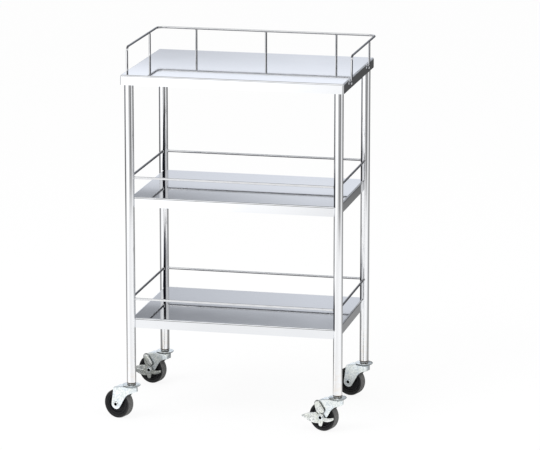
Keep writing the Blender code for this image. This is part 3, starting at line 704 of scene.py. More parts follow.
def makeLeg(corner):
    low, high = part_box(f"leg_{corner}")
    outer = (high.x - low.x) / 2
    inner = outer - legShape["wall"]
    line = [(inner, low.z), (outer, low.z), (outer, high.z), (inner, high.z)]
    bm = lathe(softened(line, legShape["edge"], 2, True), legShape["sides"], closed=True)
    bmesh.ops.translate(bm, verts=bm.verts, vec=((low.x + high.x) / 2, (low.y + high.y) / 2, 0))
    piece = evened(pieceFrom(camel(f"leg_{corner}"), meshFrom("leg", bm), finishes["tube"], "soft"))
    stripe = legShape["stripe"][corner]  # painted reflection: 1 dark in the middle, -1 dark on the left edge
    marked(piece.data, "stripe", [stripe] * len(piece.data.vertices))
    dress(piece, "cart_frame", "leg_tube_steel", f"leg_{corner}")


for corner in corners:
    makeLeg(corner)
print("legs: four round tubes")

guardShape = {
    "rod": 0.00285, "gap": 0.0003, "sides": 28, "bendSteps": 14, "height": 0.0575, "endInset": 0.082,
    "postInset": 0.1015, "topBend": 0.012, "cornerBend": 0.018, "tabWidth": 0.009, "tabThick": 0.0024,
    "tabStart": 0.005, "tipSteps": 6, "tipWidth": 0.12, "tipThick": 0.75, "waist": 0.94, "easeSteps": 8,
    "rivetDrop": 0.013, "rivetHead": 0.0034, "rivetHeight": 0.0019,
    "weldRing": 0.0026, "weldBead": 0.0006, "sideLit": -1.0, "backLit": 0.3,
}


def guardAnchors():
    sideX = (panelHigh.x - panelLow.x) / 2
    backY = (panelHigh.y - panelLow.y) / 2
    endY = backY - guardShape["endInset"]
    postX = sideX - guardShape["postInset"]
    places = {
        "front_left": ((-sideX, -endY), (-1, 0)), "front_right": ((sideX, -endY), (1, 0)),
        "left": ((-sideX, endY), (-1, 0)), "right": ((sideX, endY), (1, 0)),
        "back_left": ((-postX, backY), (0, 1)), "back_middle": ((0, backY), (0, 1)),
        "back_right": ((postX, backY), (0, 1)),
    }
    return {name: (Vector((x + cartMiddle.x, y + cartMiddle.y, 0)), Vector((*out, 0)))
            for name, ((x, y), out) in places.items()}


def footRings(edge, out):  # flat riveted tab below, easing into the round rod above
    g = guardShape
    rod, gap = g["rod"], g["gap"]
    side = out.cross(Vector((0, 0, 1)))
    rivet = topHeight - g["rivetDrop"]
    wide, flat = g["tabWidth"] / 2, g["tabThick"] / 2
    waist = wide * g["waist"]
    tabOut, rodOut = gap + flat, gap + rod
    rings = []
    for step in range(g["tipSteps"] + 1):  # rounded lower end
        swing = pi / 2 * step / g["tipSteps"]
        thick = g["tipThick"] + (1 - g["tipThick"]) * sin(swing)
        rings.append((rivet - wide * cos(swing), tabOut, wide * max(sin(swing), g["tipWidth"]), flat * thick))
    start, end = rivet + wide, topHeight - g["tabStart"] + flat
    for share in sharesOf(g["easeSteps"]):
        ease = eased(share)
        rings.append((start + (end - start) * share, tabOut + (rodOut - tabOut) * ease,
                      waist + (rod - waist) * ease, flat + (rod - flat) * ease))
    return [(edge + out * offset + Vector((0, 0, z)), side, out, halfSide, halfOut)
            for z, offset, halfSide, halfOut in rings]


def bendRings(corner, before, after, radius):
    middle = corner - before * radius + after * radius
    turnAxis = before.cross(after)
    rings = []
    for step in range(guardShape["bendSteps"] + 1):
        turn = Matrix.Rotation(pi / 2 * step / guardShape["bendSteps"], 3, turnAxis)
        rings.append((middle - turn @ after * radius, turn @ before))
    return rings


def makeGuardRod(anchors, railZ):
    rod = guardShape["rod"]
    offset = guardShape["gap"] + rod
    left, right = panelLow.x - offset, panelHigh.x + offset
    back, endY = panelHigh.y + offset, anchors["front_right"][0].y
    up, away, across = Vector((0, 0, 1)), Vector((0, 1, 0)), Vector((1, 0, 0))
    bends = [
        (Vector((left, endY, railZ)), up, away, guardShape["topBend"]),
        (Vector((left, back, railZ)), away, across, guardShape["cornerBend"]),
        (Vector((right, back, railZ)), across, -away, guardShape["cornerBend"]),
        (Vector((right, endY, railZ)), -away, -up, guardShape["topBend"]),
    ]
    rings = footRings(*anchors["front_left"])
    side, out = rings[-1][1], rings[-1][2]
    heading = up
    for corner, before, after, radius in bends:
        for centre, along in bendRings(corner, before, after, radius):
            turn = heading.rotation_difference(along)
            side, out = turn @ side, turn @ out
            heading = along
            rings.append((centre, side, out, rod, rod))
    for centre, footSide, footOut, halfSide, halfOut in reversed(footRings(*anchors["front_right"])):
        sameWay = abs(side.dot(footSide)) > 0.5
        rings.append((centre, side, out, *((halfSide, halfOut) if sameWay else (halfOut, halfSide))))
    mesh = meshFrom("guard", sweptRod(rings, guardShape["sides"]))
    piece = evened(pieceFrom("topGuardRod", mesh, finishes["rod"], "rod"))
    near = 1.5 * rod
    levels = []
    for vert in piece.data.vertices:  # painted reflection: the back run is painted lit and the two side runs painted dim
        run = "sideLit" if min(abs(vert.co.x - left), abs(vert.co.x - right)) < near else "backLit"
        levels.append(guardShape[run] if abs(vert.co.z - railZ) < near else 0.0)
    marked(piece.data, "lit", levels)
    dress(piece, "cart_frame", "rod_steel", "top_guard_rod")


def makePosts(anchors, postTop):
    welds = []
    for name in ("left", "right", "back_left", "back_middle", "back_right"):
        rings = footRings(*anchors[name])
        centre, *section = rings[-1]
        top = Vector((centre.x, centre.y, postTop))
        mesh = meshFrom("post", sweptRod(rings + [(top, *section)], guardShape["sides"]))
        piece = pieceFrom(camel(f"guard_post_{name}"), mesh, finishes["rod"], "rod")
        dress(evened(piece), "cart_frame", "rod_steel", f"guard_post_{name}")
        welds.append((top, Vector((0, 0, 1))))
    return welds


def makeRivets(anchors):
    outer = guardShape["gap"] * 2 + guardShape["tabThick"]
    height = Vector((0, 0, topHeight - guardShape["rivetDrop"]))
    rivets = [(edge + out * outer + height, out) for edge, out in anchors.values()]
    heads = grown("guardRivets", pointMesh("rivets", rivets), makeRivetTree(), {
        "Head Radius": guardShape["rivetHead"], "Head Height": guardShape["rivetHeight"],
        "Material": finishes["rivet"]})
    dress(heads, "cart_frame", "rivet_steel", *[f"guard_rivet_{name}" for name in anchors])


def makeGuard():
    anchors = guardAnchors()
    railZ = topHeight + guardShape["height"]
    makeGuardRod(anchors, railZ)
    welds = makePosts(anchors, railZ - guardShape["rod"] - guardShape["gap"])
    makeRivets(anchors)
    return welds


railShape = {
    "rod": 0.003, "sides": 28, "weldRing": 0.0032, "weldBead": 0.0010, "mapTurn": 160,
    # painted reflection levels of each side's rails, read by the rod finish
    "lit": {"front": 1.0, "back": 0.0, "left": -1.0, "right": -1.0},
}


def makeRailTree():
    tree, start, sources = newTree("straightRods", ("Rod Radius",), ("Sides",))
    runs = start.node("GeometryNodeMeshToCurve", {"Mesh": sources["Geometry"]})
    ring = start.node("GeometryNodeCurvePrimitiveCircle",
                      {"Resolution": sources["Sides"], "Radius": sources["Rod Radius"]})
    rods = start.node("GeometryNodeCurveToMesh", {"Curve": runs, "Profile Curve": ring, "Fill Caps": True})
    return endTree(tree, rods, sources["Material"])


def mapAlong(mesh):  # length of each straight rod runs up its map
    layer = mesh.uv_layers.new(name="along")
    for loop in mesh.loops:
        spot = mesh.vertices[loop.vertex_index].co
        layer.data[loop.index].uv = (spot.z * railShape["mapTurn"], spot.x + spot.y)


def makeRails(railTree):
    welds = []
    for shelf in ("middle", "bottom"):
        runs, nodes = [], []
        for side, lit in railShape["lit"].items():
            nodes.append(f"{shelf}_rail_{side}")
            low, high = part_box(nodes[-1])
            centre, size = (low + high) / 2, high - low
            along = Vector((1, 0, 0)) if size.x > size.y else Vector((0, 1, 0))
            reach = along * (along.dot(size) / 2)
            runs.append((centre - reach, centre + reach, lit))
            welds += [(centre - reach, -along), (centre + reach, along)]
        piece = grown(f"{shelf}Rails", edgeMesh("rails", runs), railTree, {
            "Rod Radius": railShape["rod"], "Sides": railShape["sides"], "Material": finishes["rod"]})
        piece.data.set_sharp_from_angle(angle=radians(sharpFrom["rod"]))
        mapAlong(piece.data)
        dress(piece, "cart_frame", "rod_steel", *nodes)
    return welds


def makeWelds(name, spots, shape, weldTree):
    piece = grown(name, pointMesh("welds", spots), weldTree, {
        "Ring Radius": shape["weldRing"], "Bead Radius": shape["weldBead"], "Material": finishes["weld"]})
    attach(piece, "cart_frame")


postWelds = makeGuard()
railWelds = makeRails(makeRailTree())
weldTree = makeWeldTree()
makeWelds("postWelds", postWelds, guardShape, weldTree)
makeWelds("railWelds", railWelds, railShape, weldTree)
print("guards: rods, posts,", len(railWelds) + len(postWelds), "weld rings and seven rivets")

legLow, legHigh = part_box("leg_front_left")
stemLow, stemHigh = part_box("caster_stem_front_left")
insertLow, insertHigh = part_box("foot_insert_front_left")
ballLow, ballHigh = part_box("ball_race_front_left")
tyreLow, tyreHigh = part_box("tyre_front_left")
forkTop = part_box("caster_fork_front_left")[1].z

casterShape = {
    "gap": 0.0003, "swivelRest": 18.0, "wheelRadius": (tyreHigh.z - tyreLow.z) / 2, "trail": 0.0395,
    "forkInner": 0.0135, "forkOuter": 0.0155, "sides": 72, "bevel": 0.0014,
}
hubPlace = Matrix.Translation((-casterShape["trail"], 0, casterShape["wheelRadius"]))


def casterPlace(corner):
    low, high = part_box(f"leg_{corner}")
    axis = (low + high) / 2
    turn = Matrix.Rotation(-radians(casterShape["swivelRest"]), 4, "Z")
    return Matrix.Translation((axis.x, axis.y, 0)) @ turn


creaseShape = {"rounds": 2, "from": 0.03, "full": 0.16, "flat": 0.80, "steep": 0.45}


def creased(mesh, edges=False):  # marks where shade is painted: hollow corners, and the edges of flat sheet
    levels = [0.0] * len(mesh.vertices)
    shares = [0] * len(mesh.vertices)
    ends = [tuple(edge.vertices) for edge in mesh.edges]
    for first, second in ends:
        a, b = mesh.vertices[first], mesh.vertices[second]
        along = (b.co - a.co).normalized()
        levels[first] += a.normal.dot(along)
        levels[second] -= b.normal.dot(along)
        shares[first] += 1
        shares[second] += 1
    levels = [level / max(share, 1) for level, share in zip(levels, shares)]
    for turn in range(creaseShape["rounds"]):
        spread = list(levels)
        for first, second in ends:
            spread[first] += levels[second]
            spread[second] += levels[first]
        levels = [level / (share + 1) for level, share in zip(spread, shares)]
    low, full = creaseShape["from"], creaseShape["full"]
    flat, steep = creaseShape["flat"], creaseShape["steep"]
    marks = []
    for vert, level in zip(mesh.vertices, levels):
        edge = (flat - abs(vert.normal.y)) / (flat - steep) if edges else 0.0
        marks.append(min(max((level - low) / (full - low), edge, 0.0), 1.0))
    return marked(mesh, "crease", marks)


ballShape = {
    "Balls": 20, "Pitch Radius": 0.0105, "Ball Radius": 0.0015, "Height": (ballLow.z + ballHigh.z) / 2,
}
raceCeiling = ballShape["Height"] + ballShape["Ball Radius"] + casterShape["gap"]

stemShape = {
    "stemLength": 0.026, "stemRadius": 0.0055, "collarRadius": 0.0105, "raceRadius": 0.0235,
    "raceSheet": 0.0016, "rimHeight": 0.0034, "step": 0.0016, "slope": 0.0045, "pinRadius": 0.006,
    "pinHead": 0.0085, "pinHeadHeight": 0.0032, "softness": 0.0007, "shadeDrop": 0.0001,
}


def stemProfile():
    s, bevel, sheet = stemShape, casterShape["bevel"], stemShape["raceSheet"]
    raceTop, collarTop = raceCeiling + sheet, stemHigh.z - s["stemLength"]
    rimTop, rimBottom = raceCeiling - sheet, raceCeiling - s["rimHeight"]
    pinEnd = stemLow.z + s["pinHeadHeight"]
    skirt = s["raceRadius"] - s["step"]
    line = [
        (0, stemHigh.z), (s["stemRadius"], stemHigh.z), (s["stemRadius"], collarTop),
        (s["collarRadius"], collarTop), (s["collarRadius"], raceTop),
        (s["raceRadius"] - s["slope"], raceTop - sheet / 2), (s["raceRadius"], raceCeiling - sheet / 4),
        (s["raceRadius"], rimTop), (skirt, rimTop), (skirt, rimBottom),
        (skirt - sheet, rimBottom), (skirt - sheet, rimTop), (skirt - s["slope"], raceCeiling),
        (s["pinRadius"], raceCeiling), (s["pinRadius"], pinEnd), (s["pinHead"], pinEnd),
        (s["pinHead"] - bevel, stemLow.z), (0, stemLow.z),
    ]
    return softened(line, s["softness"], 3)


def stemMesh():
    mesh = creased(meshFrom("stem", lathe(stemProfile(), casterShape["sides"])))
    edge = raceCeiling - stemShape["raceSheet"] / 4 - stemShape["shadeDrop"]
    for vert in mesh.vertices:  # painted shade under the race's rim
        if vert.co.z < edge:
            mesh.attributes["crease"].data[vert.index].value = 1.0
    return mesh


insertShape = {"bore": 0.0058, "softness": 0.0004, "sides": 64}


def insertMesh():
    bore, gap = insertShape["bore"], casterShape["gap"]
    outer = (legHigh.x - legLow.x) / 2
    inner = outer - legShape["wall"] - gap
    shoulder = legLow.z - gap
    line = [(bore, insertLow.z), (outer, insertLow.z), (outer, shoulder), (inner, shoulder),
            (inner, insertHigh.z), (bore, insertHigh.z)]
    line = softened(line, insertShape["softness"], 2, True)
    return meshFrom("insert", lathe(line, insertShape["sides"], "z", True))


axleShape = {
    "radius": 0.0052, "bore": 0.0042, "rim": 0.0075, "rimHeight": 0.0016, "softness": 0.0005, "sides": 40,
    "boreEdge": 0.0002,
}


def axleMesh(stack):
    a, c = axleShape, casterShape
    head, tail = -stack - c["gap"], c["forkOuter"] + c["gap"]
    front, end = head - a["rimHeight"], tail + a["rimHeight"]
    bore, lip = a["bore"], a["rim"] - c["bevel"]
    line = [(bore, front), (lip, front), (a["rim"], head), (a["radius"], head),
            (a["radius"], tail), (a["rim"], tail), (lip, end), (bore, end)]
    mesh = meshFrom("axle", lathe(softened(line, a["softness"], 3, True), a["sides"], "y", True))
    # painted shade inside the bore, marked for the zinc finish
    inside = bore + a["boreEdge"]
    return marked(mesh, "bore", [float(hypot(vert.co.x, vert.co.z) < inside) for vert in mesh.vertices])


wheelShape = {
    "tyreWidth": 0.024, "treadFlat": 0.018, "shoulder": 0.0012, "tyreDepth": 0.0095, "tyreSoft": 0.0022,
    "tyreSides": 96, "wear": 0.0026, "hubRadius": 0.0105, "rimWidth": 0.019, "webWidth": 0.010,
    "rimDepth": 0.0045, "draft": 0.001, "coreSoft": 0.0009,
}
tyreSeat = casterShape["wheelRadius"] - wheelShape["tyreDepth"]


def mirrored(half):  # the other half of a wheel's section, in the order of one line
    return half + [(radius, -along) for radius, along in reversed(half)]


def coreMesh():
    w, gap = wheelShape, casterShape["gap"]
    hubHalf, rimHalf, webHalf = casterShape["forkInner"] - gap, w["rimWidth"] / 2, w["webWidth"] / 2
    rimInner = tyreSeat - w["rimDepth"]
    half = [(axleShape["radius"] + gap, hubHalf), (w["hubRadius"], hubHalf),
            (w["hubRadius"] + w["draft"], webHalf), (rimInner - w["draft"], webHalf),
            (rimInner, rimHalf), (tyreSeat - gap, rimHalf)]
    line = softened(mirrored(half), w["coreSoft"], 3, True)
    return meshFrom("core", lathe(line, casterShape["sides"], "y", True))


def tyreMesh():
    w, radius = wheelShape, casterShape["wheelRadius"]
    wide, flat = w["tyreWidth"] / 2, w["treadFlat"] / 2
    half = [(tyreSeat, w["rimWidth"] / 2), (radius - 2 * w["shoulder"], wide),
            (radius - w["shoulder"] / 2, (wide + flat) / 2), (radius, flat)]
    line = softened(mirrored(half), w["tyreSoft"], 6, True)
    mesh = meshFrom("tyre", lathe(line, w["tyreSides"], "y", True))
    worn = [1 - (radius - hypot(vert.co.x, vert.co.z)) / w["wear"] for vert in mesh.vertices]
    return marked(mesh, "tread", [eased(min(max(share, 0.0), 1.0)) for share in worn])


forkShape = {
    "nose": 0.013, "noseDrop": 0.013, "noseSteps": 40, "rear": 0.007, "rearDrop": 0.0045, "rearSoft": 0.004,
    "rearSteps": 8, "endRadius": 0.0135, "endSteps": 32, "sheet": 0.002, "crownSheet": 0.0025,
    "cornerAhead": 0.0349, "cornerRise": 0.0325, "cornerBlend": 0.017, "cornerSteps": 16,
    "slopeStart": 0.020, "crownBend": 0.0025, "bendSteps": 5, "bossRadius": 0.0145, "bossHeight": 0.0016,
    "bossSides": 64, "pinHole": 0.0063, "axleHole": 0.0055, "voxel": 0.00045, "rounds": 4, "keep": 0.28,
}
crownTop = forkTop - forkShape["bossHeight"]
crownUnder = crownTop - forkShape["crownSheet"]


def tangentAngle(point, centre, radius, side):
    dx, dy = point[0] - centre[0], point[1] - centre[1]
    return degrees(atan2(dy, dx) + side * acos(radius / hypot(dx, dy)))


def forkOutline(nose):
    f, c = forkShape, casterShape
    axle = (-c["trail"], c["wheelRadius"])
    rearTop = (-c["trail"] - f["rear"], crownTop - f["rearDrop"])
    corner = Vector((f["cornerAhead"] - c["trail"], c["wheelRadius"] + f["cornerRise"]))
    noseLow = Vector((nose - f["crownBend"], crownTop - f["noseDrop"] - f["crownBend"]))
    start = tangentAngle(rearTop, axle, f["endRadius"], 1)
    end = tangentAngle(corner, axle, f["endRadius"], -1) + 360
    endArc = arc(axle, f["endRadius"], start, end, f["endSteps"])
    below = (Vector(endArc[-1]) - corner).normalized() * f["cornerBlend"]
    ahead = (noseLow - corner).normalized() * f["cornerBlend"]
    hollow = [tuple(corner + below * (1 - share) ** 2 + ahead * share ** 2)
              for share in sharesOf(f["cornerSteps"])]
    crown = [(nose, crownTop), (-f["slopeStart"], crownTop), rearTop]
    return crown + endArc + hollow + [tuple(noseLow), (nose, crownTop - f["noseDrop"])]


def rearCut(outline):  # what the rounding of the fork's rear top corner takes away
    before, corner, after = outline[1:4]
    bend = softened([before, corner, after], forkShape["rearSoft"], forkShape["rearSteps"])[1:-1]
    beyond = Vector(corner) * 2 - Vector(bend[len(bend) // 2])
    return bend + [tuple(beyond)]


def nosePlan(halfWidth, nose, back):
    centre = (nose - halfWidth, 0)
    front = arc(centre, halfWidth, -90, 90, forkShape["noseSteps"])
    return [(-back, -halfWidth)] + front + [(-back, halfWidth)]


def bendCrown(fork):  # rounds the edges between the crown and the cheeks
    outer = casterShape["forkOuter"]
    bm = bmesh.new()
    bm.from_mesh(fork.data)
    bmesh.ops.dissolve_limit(bm, angle_limit=radians(1), verts=bm.verts, edges=bm.edges)
    bm.normal_update()
    crown = [edge for edge in bm.edges if len(edge.link_faces) == 2
             and max(face.normal.z for face in edge.link_faces) > 0.9
             and abs(min(face.normal.z for face in edge.link_faces)) < 0.05
             and abs(edge.verts[0].co.y - edge.verts[1].co.y) < outer]
    rounded(bm, crown, forkShape["crownBend"], forkShape["bendSteps"])
    bm.to_mesh(fork.data)
    bm.free()


def forkSpace(nose, back):  # the room for the wheel between the cheeks and under the crown
    f, c = forkShape, casterShape
    slope = f["rearDrop"] / (c["trail"] + f["rear"] - f["slopeStart"])
    far = back + c["wheelRadius"]
    farUnder = crownUnder - slope * (far - f["slopeStart"])
    line = [(nose, crownUnder), (-f["slopeStart"], crownUnder), (-far, farUnder),
            (-far, -crownTop), (nose, -crownTop)]
    space = solidPiece(prism(line, -c["forkOuter"], c["forkOuter"], "xz"))
    plan = nosePlan(c["forkInner"], nose - f["sheet"], far + crownTop)
    return combine(space, solidPiece(prism(plan, -2 * crownTop, 2 * crownTop, "xy")), "INTERSECT")


def forkMesh():
    f, c = forkShape, casterShape
    outer, sheet = c["forkOuter"], f["crownSheet"]
    nose = f["nose"] + f["crownBend"]
    back = c["trail"] + c["wheelRadius"]
    outline = forkOutline(nose)
    fork = solidPiece(prism(outline, -2 * outer, 2 * outer, "xz"))
    combine(fork, solidPiece(prism(nosePlan(outer, nose, back), 0.0, 2 * crownTop, "xy")), "INTERSECT")
    bendCrown(fork)
    combine(fork, forkSpace(nose, back), "DIFFERENCE")
    foot = crownTop - sheet / 4
    boss = [(0, forkTop), (f["bossRadius"] - f["bossHeight"], forkTop), (f["bossRadius"], foot), (0, foot)]
    combine(fork, solidPiece(lathe(boss, f["bossSides"])), "UNION")
    axle = (-c["trail"], 0, c["wheelRadius"])
    for tool in (roundTool((0, 0, 0), f["pinHole"], crownUnder - sheet, forkTop + sheet),
                 roundTool(axle, f["axleHole"], -2 * outer, 2 * outer, "y"),
                 solidPiece(prism(rearCut(outline), -2 * outer, 2 * outer, "xz"))):
        combine(fork, tool, "DIFFERENCE")
    return voxelSmoothed(fork, f)


brakeShape = {
    "plateSheet": 0.0015, "strapRadius": 0.0095, "strapSteps": 32, "bulgeRadius": 0.0095,
    "bulgeHeight": 0.0042, "bulgeRound": 65.0, "bulgeTaper": 0.9, "bulgeSteps": 9,
    "bulgeLow": (0.0035, 0.0195),
    "bulgeTop": (-0.0095, 0.0350), "leverSheet": 0.002, "leverHub": 0.0105, "root": 0.0055, "shoulder": 0.013,
    "pedalLength": 0.050, "pedalLow": -0.0155, "pedalHigh": 0.0115, "pedalTip": 0.0015, "tipWidth": 0.002,
    "pedalFlare": 0.011, "wingLength": 0.042, "wingWidth": 0.0105, "wingDrop": 0.0045, "wingRise": 0.0085,
    "wingFlare": 0.006, "wingRound": 55.0, "tabLength": 0.0235, "tabTip": 0.0055, "ribHalf": 0.0012,
    "ribSunk": 0.0004, "ribRise": 0.0009, "ribEnds": 3, "axleHole": 0.0055, "steps": 24,
    "voxel": 0.0004, "rounds": 5, "keep": 0.35,
}


def strapOutline(low, lowRadius, high, highRadius):
    dx, dz = high[0] - low[0], high[1] - low[1]
    heading = degrees(atan2(dz, dx))
    spread = degrees(acos((lowRadius - highRadius) / hypot(dx, dz)))
    steps = brakeShape["strapSteps"]
    upper = arc(high, highRadius, heading - spread, heading + spread, steps)
    return upper + arc(low, lowRadius, heading + spread, heading + 360 - spread, steps)


def brakePlateMesh():
    b, c = brakeShape, casterShape
    inner = -c["forkOuter"] - c["gap"]
    outer = inner - b["plateSheet"]
    sunk = b["plateSheet"] / 2
    outline = strapOutline((0, 0), b["strapRadius"], b["bulgeTop"], b["bulgeRadius"] + sunk)
    plate = solidPiece(prism(outline, outer, inner, "xz"))
    bm = bmesh.new()
    loops = []
    for rise in sharesOf(b["bulgeSteps"]):
        radius = b["bulgeRadius"] * cos(rise * radians(b["bulgeRound"]))
        y = outer + sunk - (b["bulgeHeight"] + sunk) * sin(rise * pi / 2)
        ring = strapOutline(b["bulgeLow"], radius * b["bulgeTaper"], b["bulgeTop"], radius)
        loops.append([bm.verts.new((x, y, z)) for x, z in ring])
    combine(plate, solidPiece(skinned(bm, loops)), "UNION")
    combine(plate, roundTool((0, 0, 0), b["axleHole"], 2 * outer, 0, "y"), "DIFFERENCE")
    return voxelSmoothed(plate, b)


def pedalStations():  # x, lower edge, upper edge and flare along the leaf shaped pedal
    b = brakeShape
    stations = [(-b["root"], b["pedalLow"], b["pedalHigh"] / 2, 0.0)]
    for share in sharesOf(b["steps"]):
        taper, middle = cos(share * pi / 2), b["pedalTip"] * share
        stations.append((-b["shoulder"] - (b["pedalLength"] - b["shoulder"]) * share,
                         b["pedalLow"] * taper + middle - b["tipWidth"] / 2,
                         b["pedalHigh"] * taper + middle + b["tipWidth"] / 2, b["pedalFlare"] * share))
    return stations


def wingStations():  # the same along the scoop opposite the pedal
    b = brakeShape
    stations = [(b["root"], -b["wingDrop"] - b["wingWidth"] / 4, b["wingWidth"] / 4, 0.0)]
    for share in sharesOf(b["steps"]):
        middle = b["wingRise"] * share ** 2 - b["wingDrop"]
        half = b["wingWidth"] / 2 * cos(share * radians(b["wingRound"]))
        stations.append((b["shoulder"] + (b["wingLength"] - b["shoulder"]) * share,
                         middle - half, middle + half, b["wingFlare"] * share))
    return stations


def wingSolid(stations, face, thickness):
    bm = bmesh.new()
    loops = []
    for x, low, high, flare in stations:
        y = face - flare
        ring = ((y, low), (y, high), (y - thickness, high), (y - thickness, low))
        loops.append([bm.verts.new((x, across, z)) for across, z in ring])
    return solidPiece(skinned(bm, loops))


def brakeLeverMesh():
    b, c = brakeShape, casterShape
    inner = -c["forkOuter"] - 2 * c["gap"] - b["plateSheet"]
    outer = inner - b["leverSheet"]
    outline = strapOutline((0, 0), b["leverHub"], (0, b["tabTip"] - b["tabLength"]), b["tabTip"])
    lever = solidPiece(prism(outline, outer, inner, "xz"))
    ends, half = b["ribEnds"], b["ribHalf"]
    for stations in (pedalStations(), wingStations()):
        combine(lever, wingSolid(stations, inner, b["leverSheet"]), "UNION")
        rib = [(x, (low + high) / 2 - half, (low + high) / 2 + half, flare)
               for x, low, high, flare in stations[ends:-ends]]
        combine(lever, wingSolid(rib, outer + b["ribSunk"], b["ribSunk"] + b["ribRise"]), "UNION")
    combine(lever, roundTool((0, 0, 0), b["axleHole"], 2 * outer, 0, "y"), "DIFFERENCE")
    return voxelSmoothed(lever, b)


def addPart(node, mesh, place, finish, kind, body, slot):
    copy = mesh.copy()
    copy.transform(place)
    dress(pieceFrom(camel(node), copy, finishes[finish], kind), body, slot, node)


def makeCasters():
    c, b = casterShape, brakeShape
    fork, plate, lever = creased(forkMesh()), creased(brakePlateMesh(), True), creased(brakeLeverMesh(), True)
    faces = [len(mesh.polygons) for mesh in (fork, plate, lever)]
    print("casters: fork, plate and lever of", faces, "faces")
    stem, insert, core, tyre, ballTree = stemMesh(), insertMesh(), coreMesh(), tyreMesh(), makeBallTree()
    for corner in corners:
        place = casterPlace(corner)
        hub = place @ hubPlace
        forkBody, wheelBody = f"fork_{corner}", f"wheel_{corner}"
        stack = c["forkOuter"]
        if corner in brakedCorners:
            stack += 2 * c["gap"] + b["plateSheet"] + b["leverSheet"]
            addPart(f"brake_plate_{corner}", plate, hub, "brakeZinc", "soft", forkBody, "brake_steel")
            leverBody = f"brake_{corner}"
            addPart(f"brake_lever_{corner}", lever, hub, "brakeZinc", "soft", leverBody, "brake_steel")
        addPart(f"caster_stem_{corner}", stem, place, "zinc", "turned", "cart_frame", "caster_steel")
        addPart(f"foot_insert_{corner}", insert, place, "insert", "turned", "cart_frame", "insert_plastic")
        balls = grown(camel(f"ball_race_{corner}"), bpy.data.meshes.new("balls"), ballTree,
                      {**ballShape, "Material": finishes["ball"]})
        balls.data.transform(place)
        dress(balls, forkBody, "bearing_steel", f"ball_race_{corner}")
        addPart(f"caster_fork_{corner}", fork, place, "zinc", "soft", forkBody, "caster_steel")
        addPart(f"axle_{corner}", axleMesh(stack), hub, "zinc", "turned", forkBody, "caster_steel")
        addPart(f"wheel_core_{corner}", core, hub, "core", "turned", wheelBody, "core_plastic")
        addPart(f"tyre_{corner}", tyre, hub, "rubber", "turned", wheelBody, "tyre_rubber")


makeCasters()
print("casters: four, two with a foot brake")

stageShape = {
    "floorSize": 80.0, "floorColour": (0.93, 0.93, 0.93, 1.0), "floorGlow": 0.88, "floorShine": 0.97,
    "white": (1.0, 1.0, 1.0, 1.0), "ambient": (0.92, 0.92, 0.92, 1.0),
    "skyStops": [(0.0, 0.85), (0.34, 0.85), (0.50, 0.52), (1.0, 0.45)],
    "frontStops": [(0.0, 1.3), (0.95, 1.3), (1.0, 0.45)],
    "frontMiddle": 3.0, "frontTurn": (40.0, 32.0), "lowTop": (0.40, 0.29),
    "lowStops": [
        (-180, 0.62), (-100, 0.66), (-85, 0.82), (-40, 0.82), (-33, 1.05), (-20, 1.05), (-17, 0.04),
        (-9, 0.04), (-6, 0.55), (7, 0.50), (13, 0.04), (37, 0.04), (42, 0.60), (60, 0.66), (180, 0.62)],
    "backCard": {"y": 3.0, "left": -4.0, "right": 2.5, "low": 0.0, "high": 3.2},
    "backStops": [  # height, level on the left, level on the right
        (0.0, 0.95, 0.95), (0.50, 1.1, 1.1), (0.91, 1.1, 1.1), (0.95, 0.58, 0.71), (1.07, 0.60, 0.73),
        (1.085, 0.30, 0.48), (1.14, 0.26, 0.42), (1.19, 0.76, 0.84), (1.285, 0.78, 0.86), (1.298, 0.40, 0.73),
        (1.345, 0.33, 0.66), (1.40, 0.62, 0.78), (1.45, 0.68, 0.83), (1.50, 0.93, 0.96), (1.515, 1.05, 1.05)],
    "backTurn": (-0.95, -0.45), "backEdge": (-0.24, -0.12), "tint": (0.95, 0.985, 1.06),
    "sideShare": 0.5, "sideLow": (0.085, 0.085, 0.085, 1.0), "sideRise": (0.72, 0.80),
    "surround": {"far": 14.0, "height": 0.0005, "sides": 48, "blend": (2.2, 3.0)},
    "nearStops": [
        (-180, 0.26), (-125, 0.32), (-100, 0.27), (-84, 0.45), (-70, 1.15), (-40, 1.2), (-13, 1.0),
        (20, 1.05), (70, 1.15), (90, 0.95), (106, 0.42), (140, 0.32), (165, 0.28), (180, 0.26)],
    "farStops": [
        (-180, 0.13), (-125, 0.16), (-100, 0.14), (-82, 0.22), (-70, 1.05), (-50, 1.25), (-13, 1.35),
        (-2, 0.85), (10, 0.60), (24, 0.46), (36, 0.20), (52, 0.20), (62, 0.40), (74, 0.90), (88, 1.05),
        (100, 0.60), (118, 0.26), (140, 0.26), (160, 0.14), (180, 0.13)],
}


def rampOf(start, stops, value, low, high, tint=(1, 1, 1)):  # levels along a value that runs from low to high
    colours = [((spot - low) / (high - low), (*[level * part for part in tint], 1.0))
               for spot, level in stops]
    return start.node("ShaderNodeValToRGB", {"Fac": (value - low) / (high - low)}, stops=colours)


def roundRamp(start, stops, angle):
    return rampOf(start, stops, angle, -180, 180)


def turnOf(start, x, y):  # degrees round from straight ahead of the cart
    return start.maths("ARCTAN2", x, y * -1.0) * (180 / pi)


def coordsOf(start, source):
    return start.node("ShaderNodeTexCoord", None, source).parts("XYZ")


def raysOf(start):
    return [start.node("ShaderNodeLightPath", None, f"Is {kind} Ray")
            for kind in ("Camera", "Transmission", "Glossy")]


def glowing(start, colour):
    glow = start.node("ShaderNodeEmission", {"Color": colour})
    start.node("ShaderNodeOutputMaterial", {"Surface": glow})


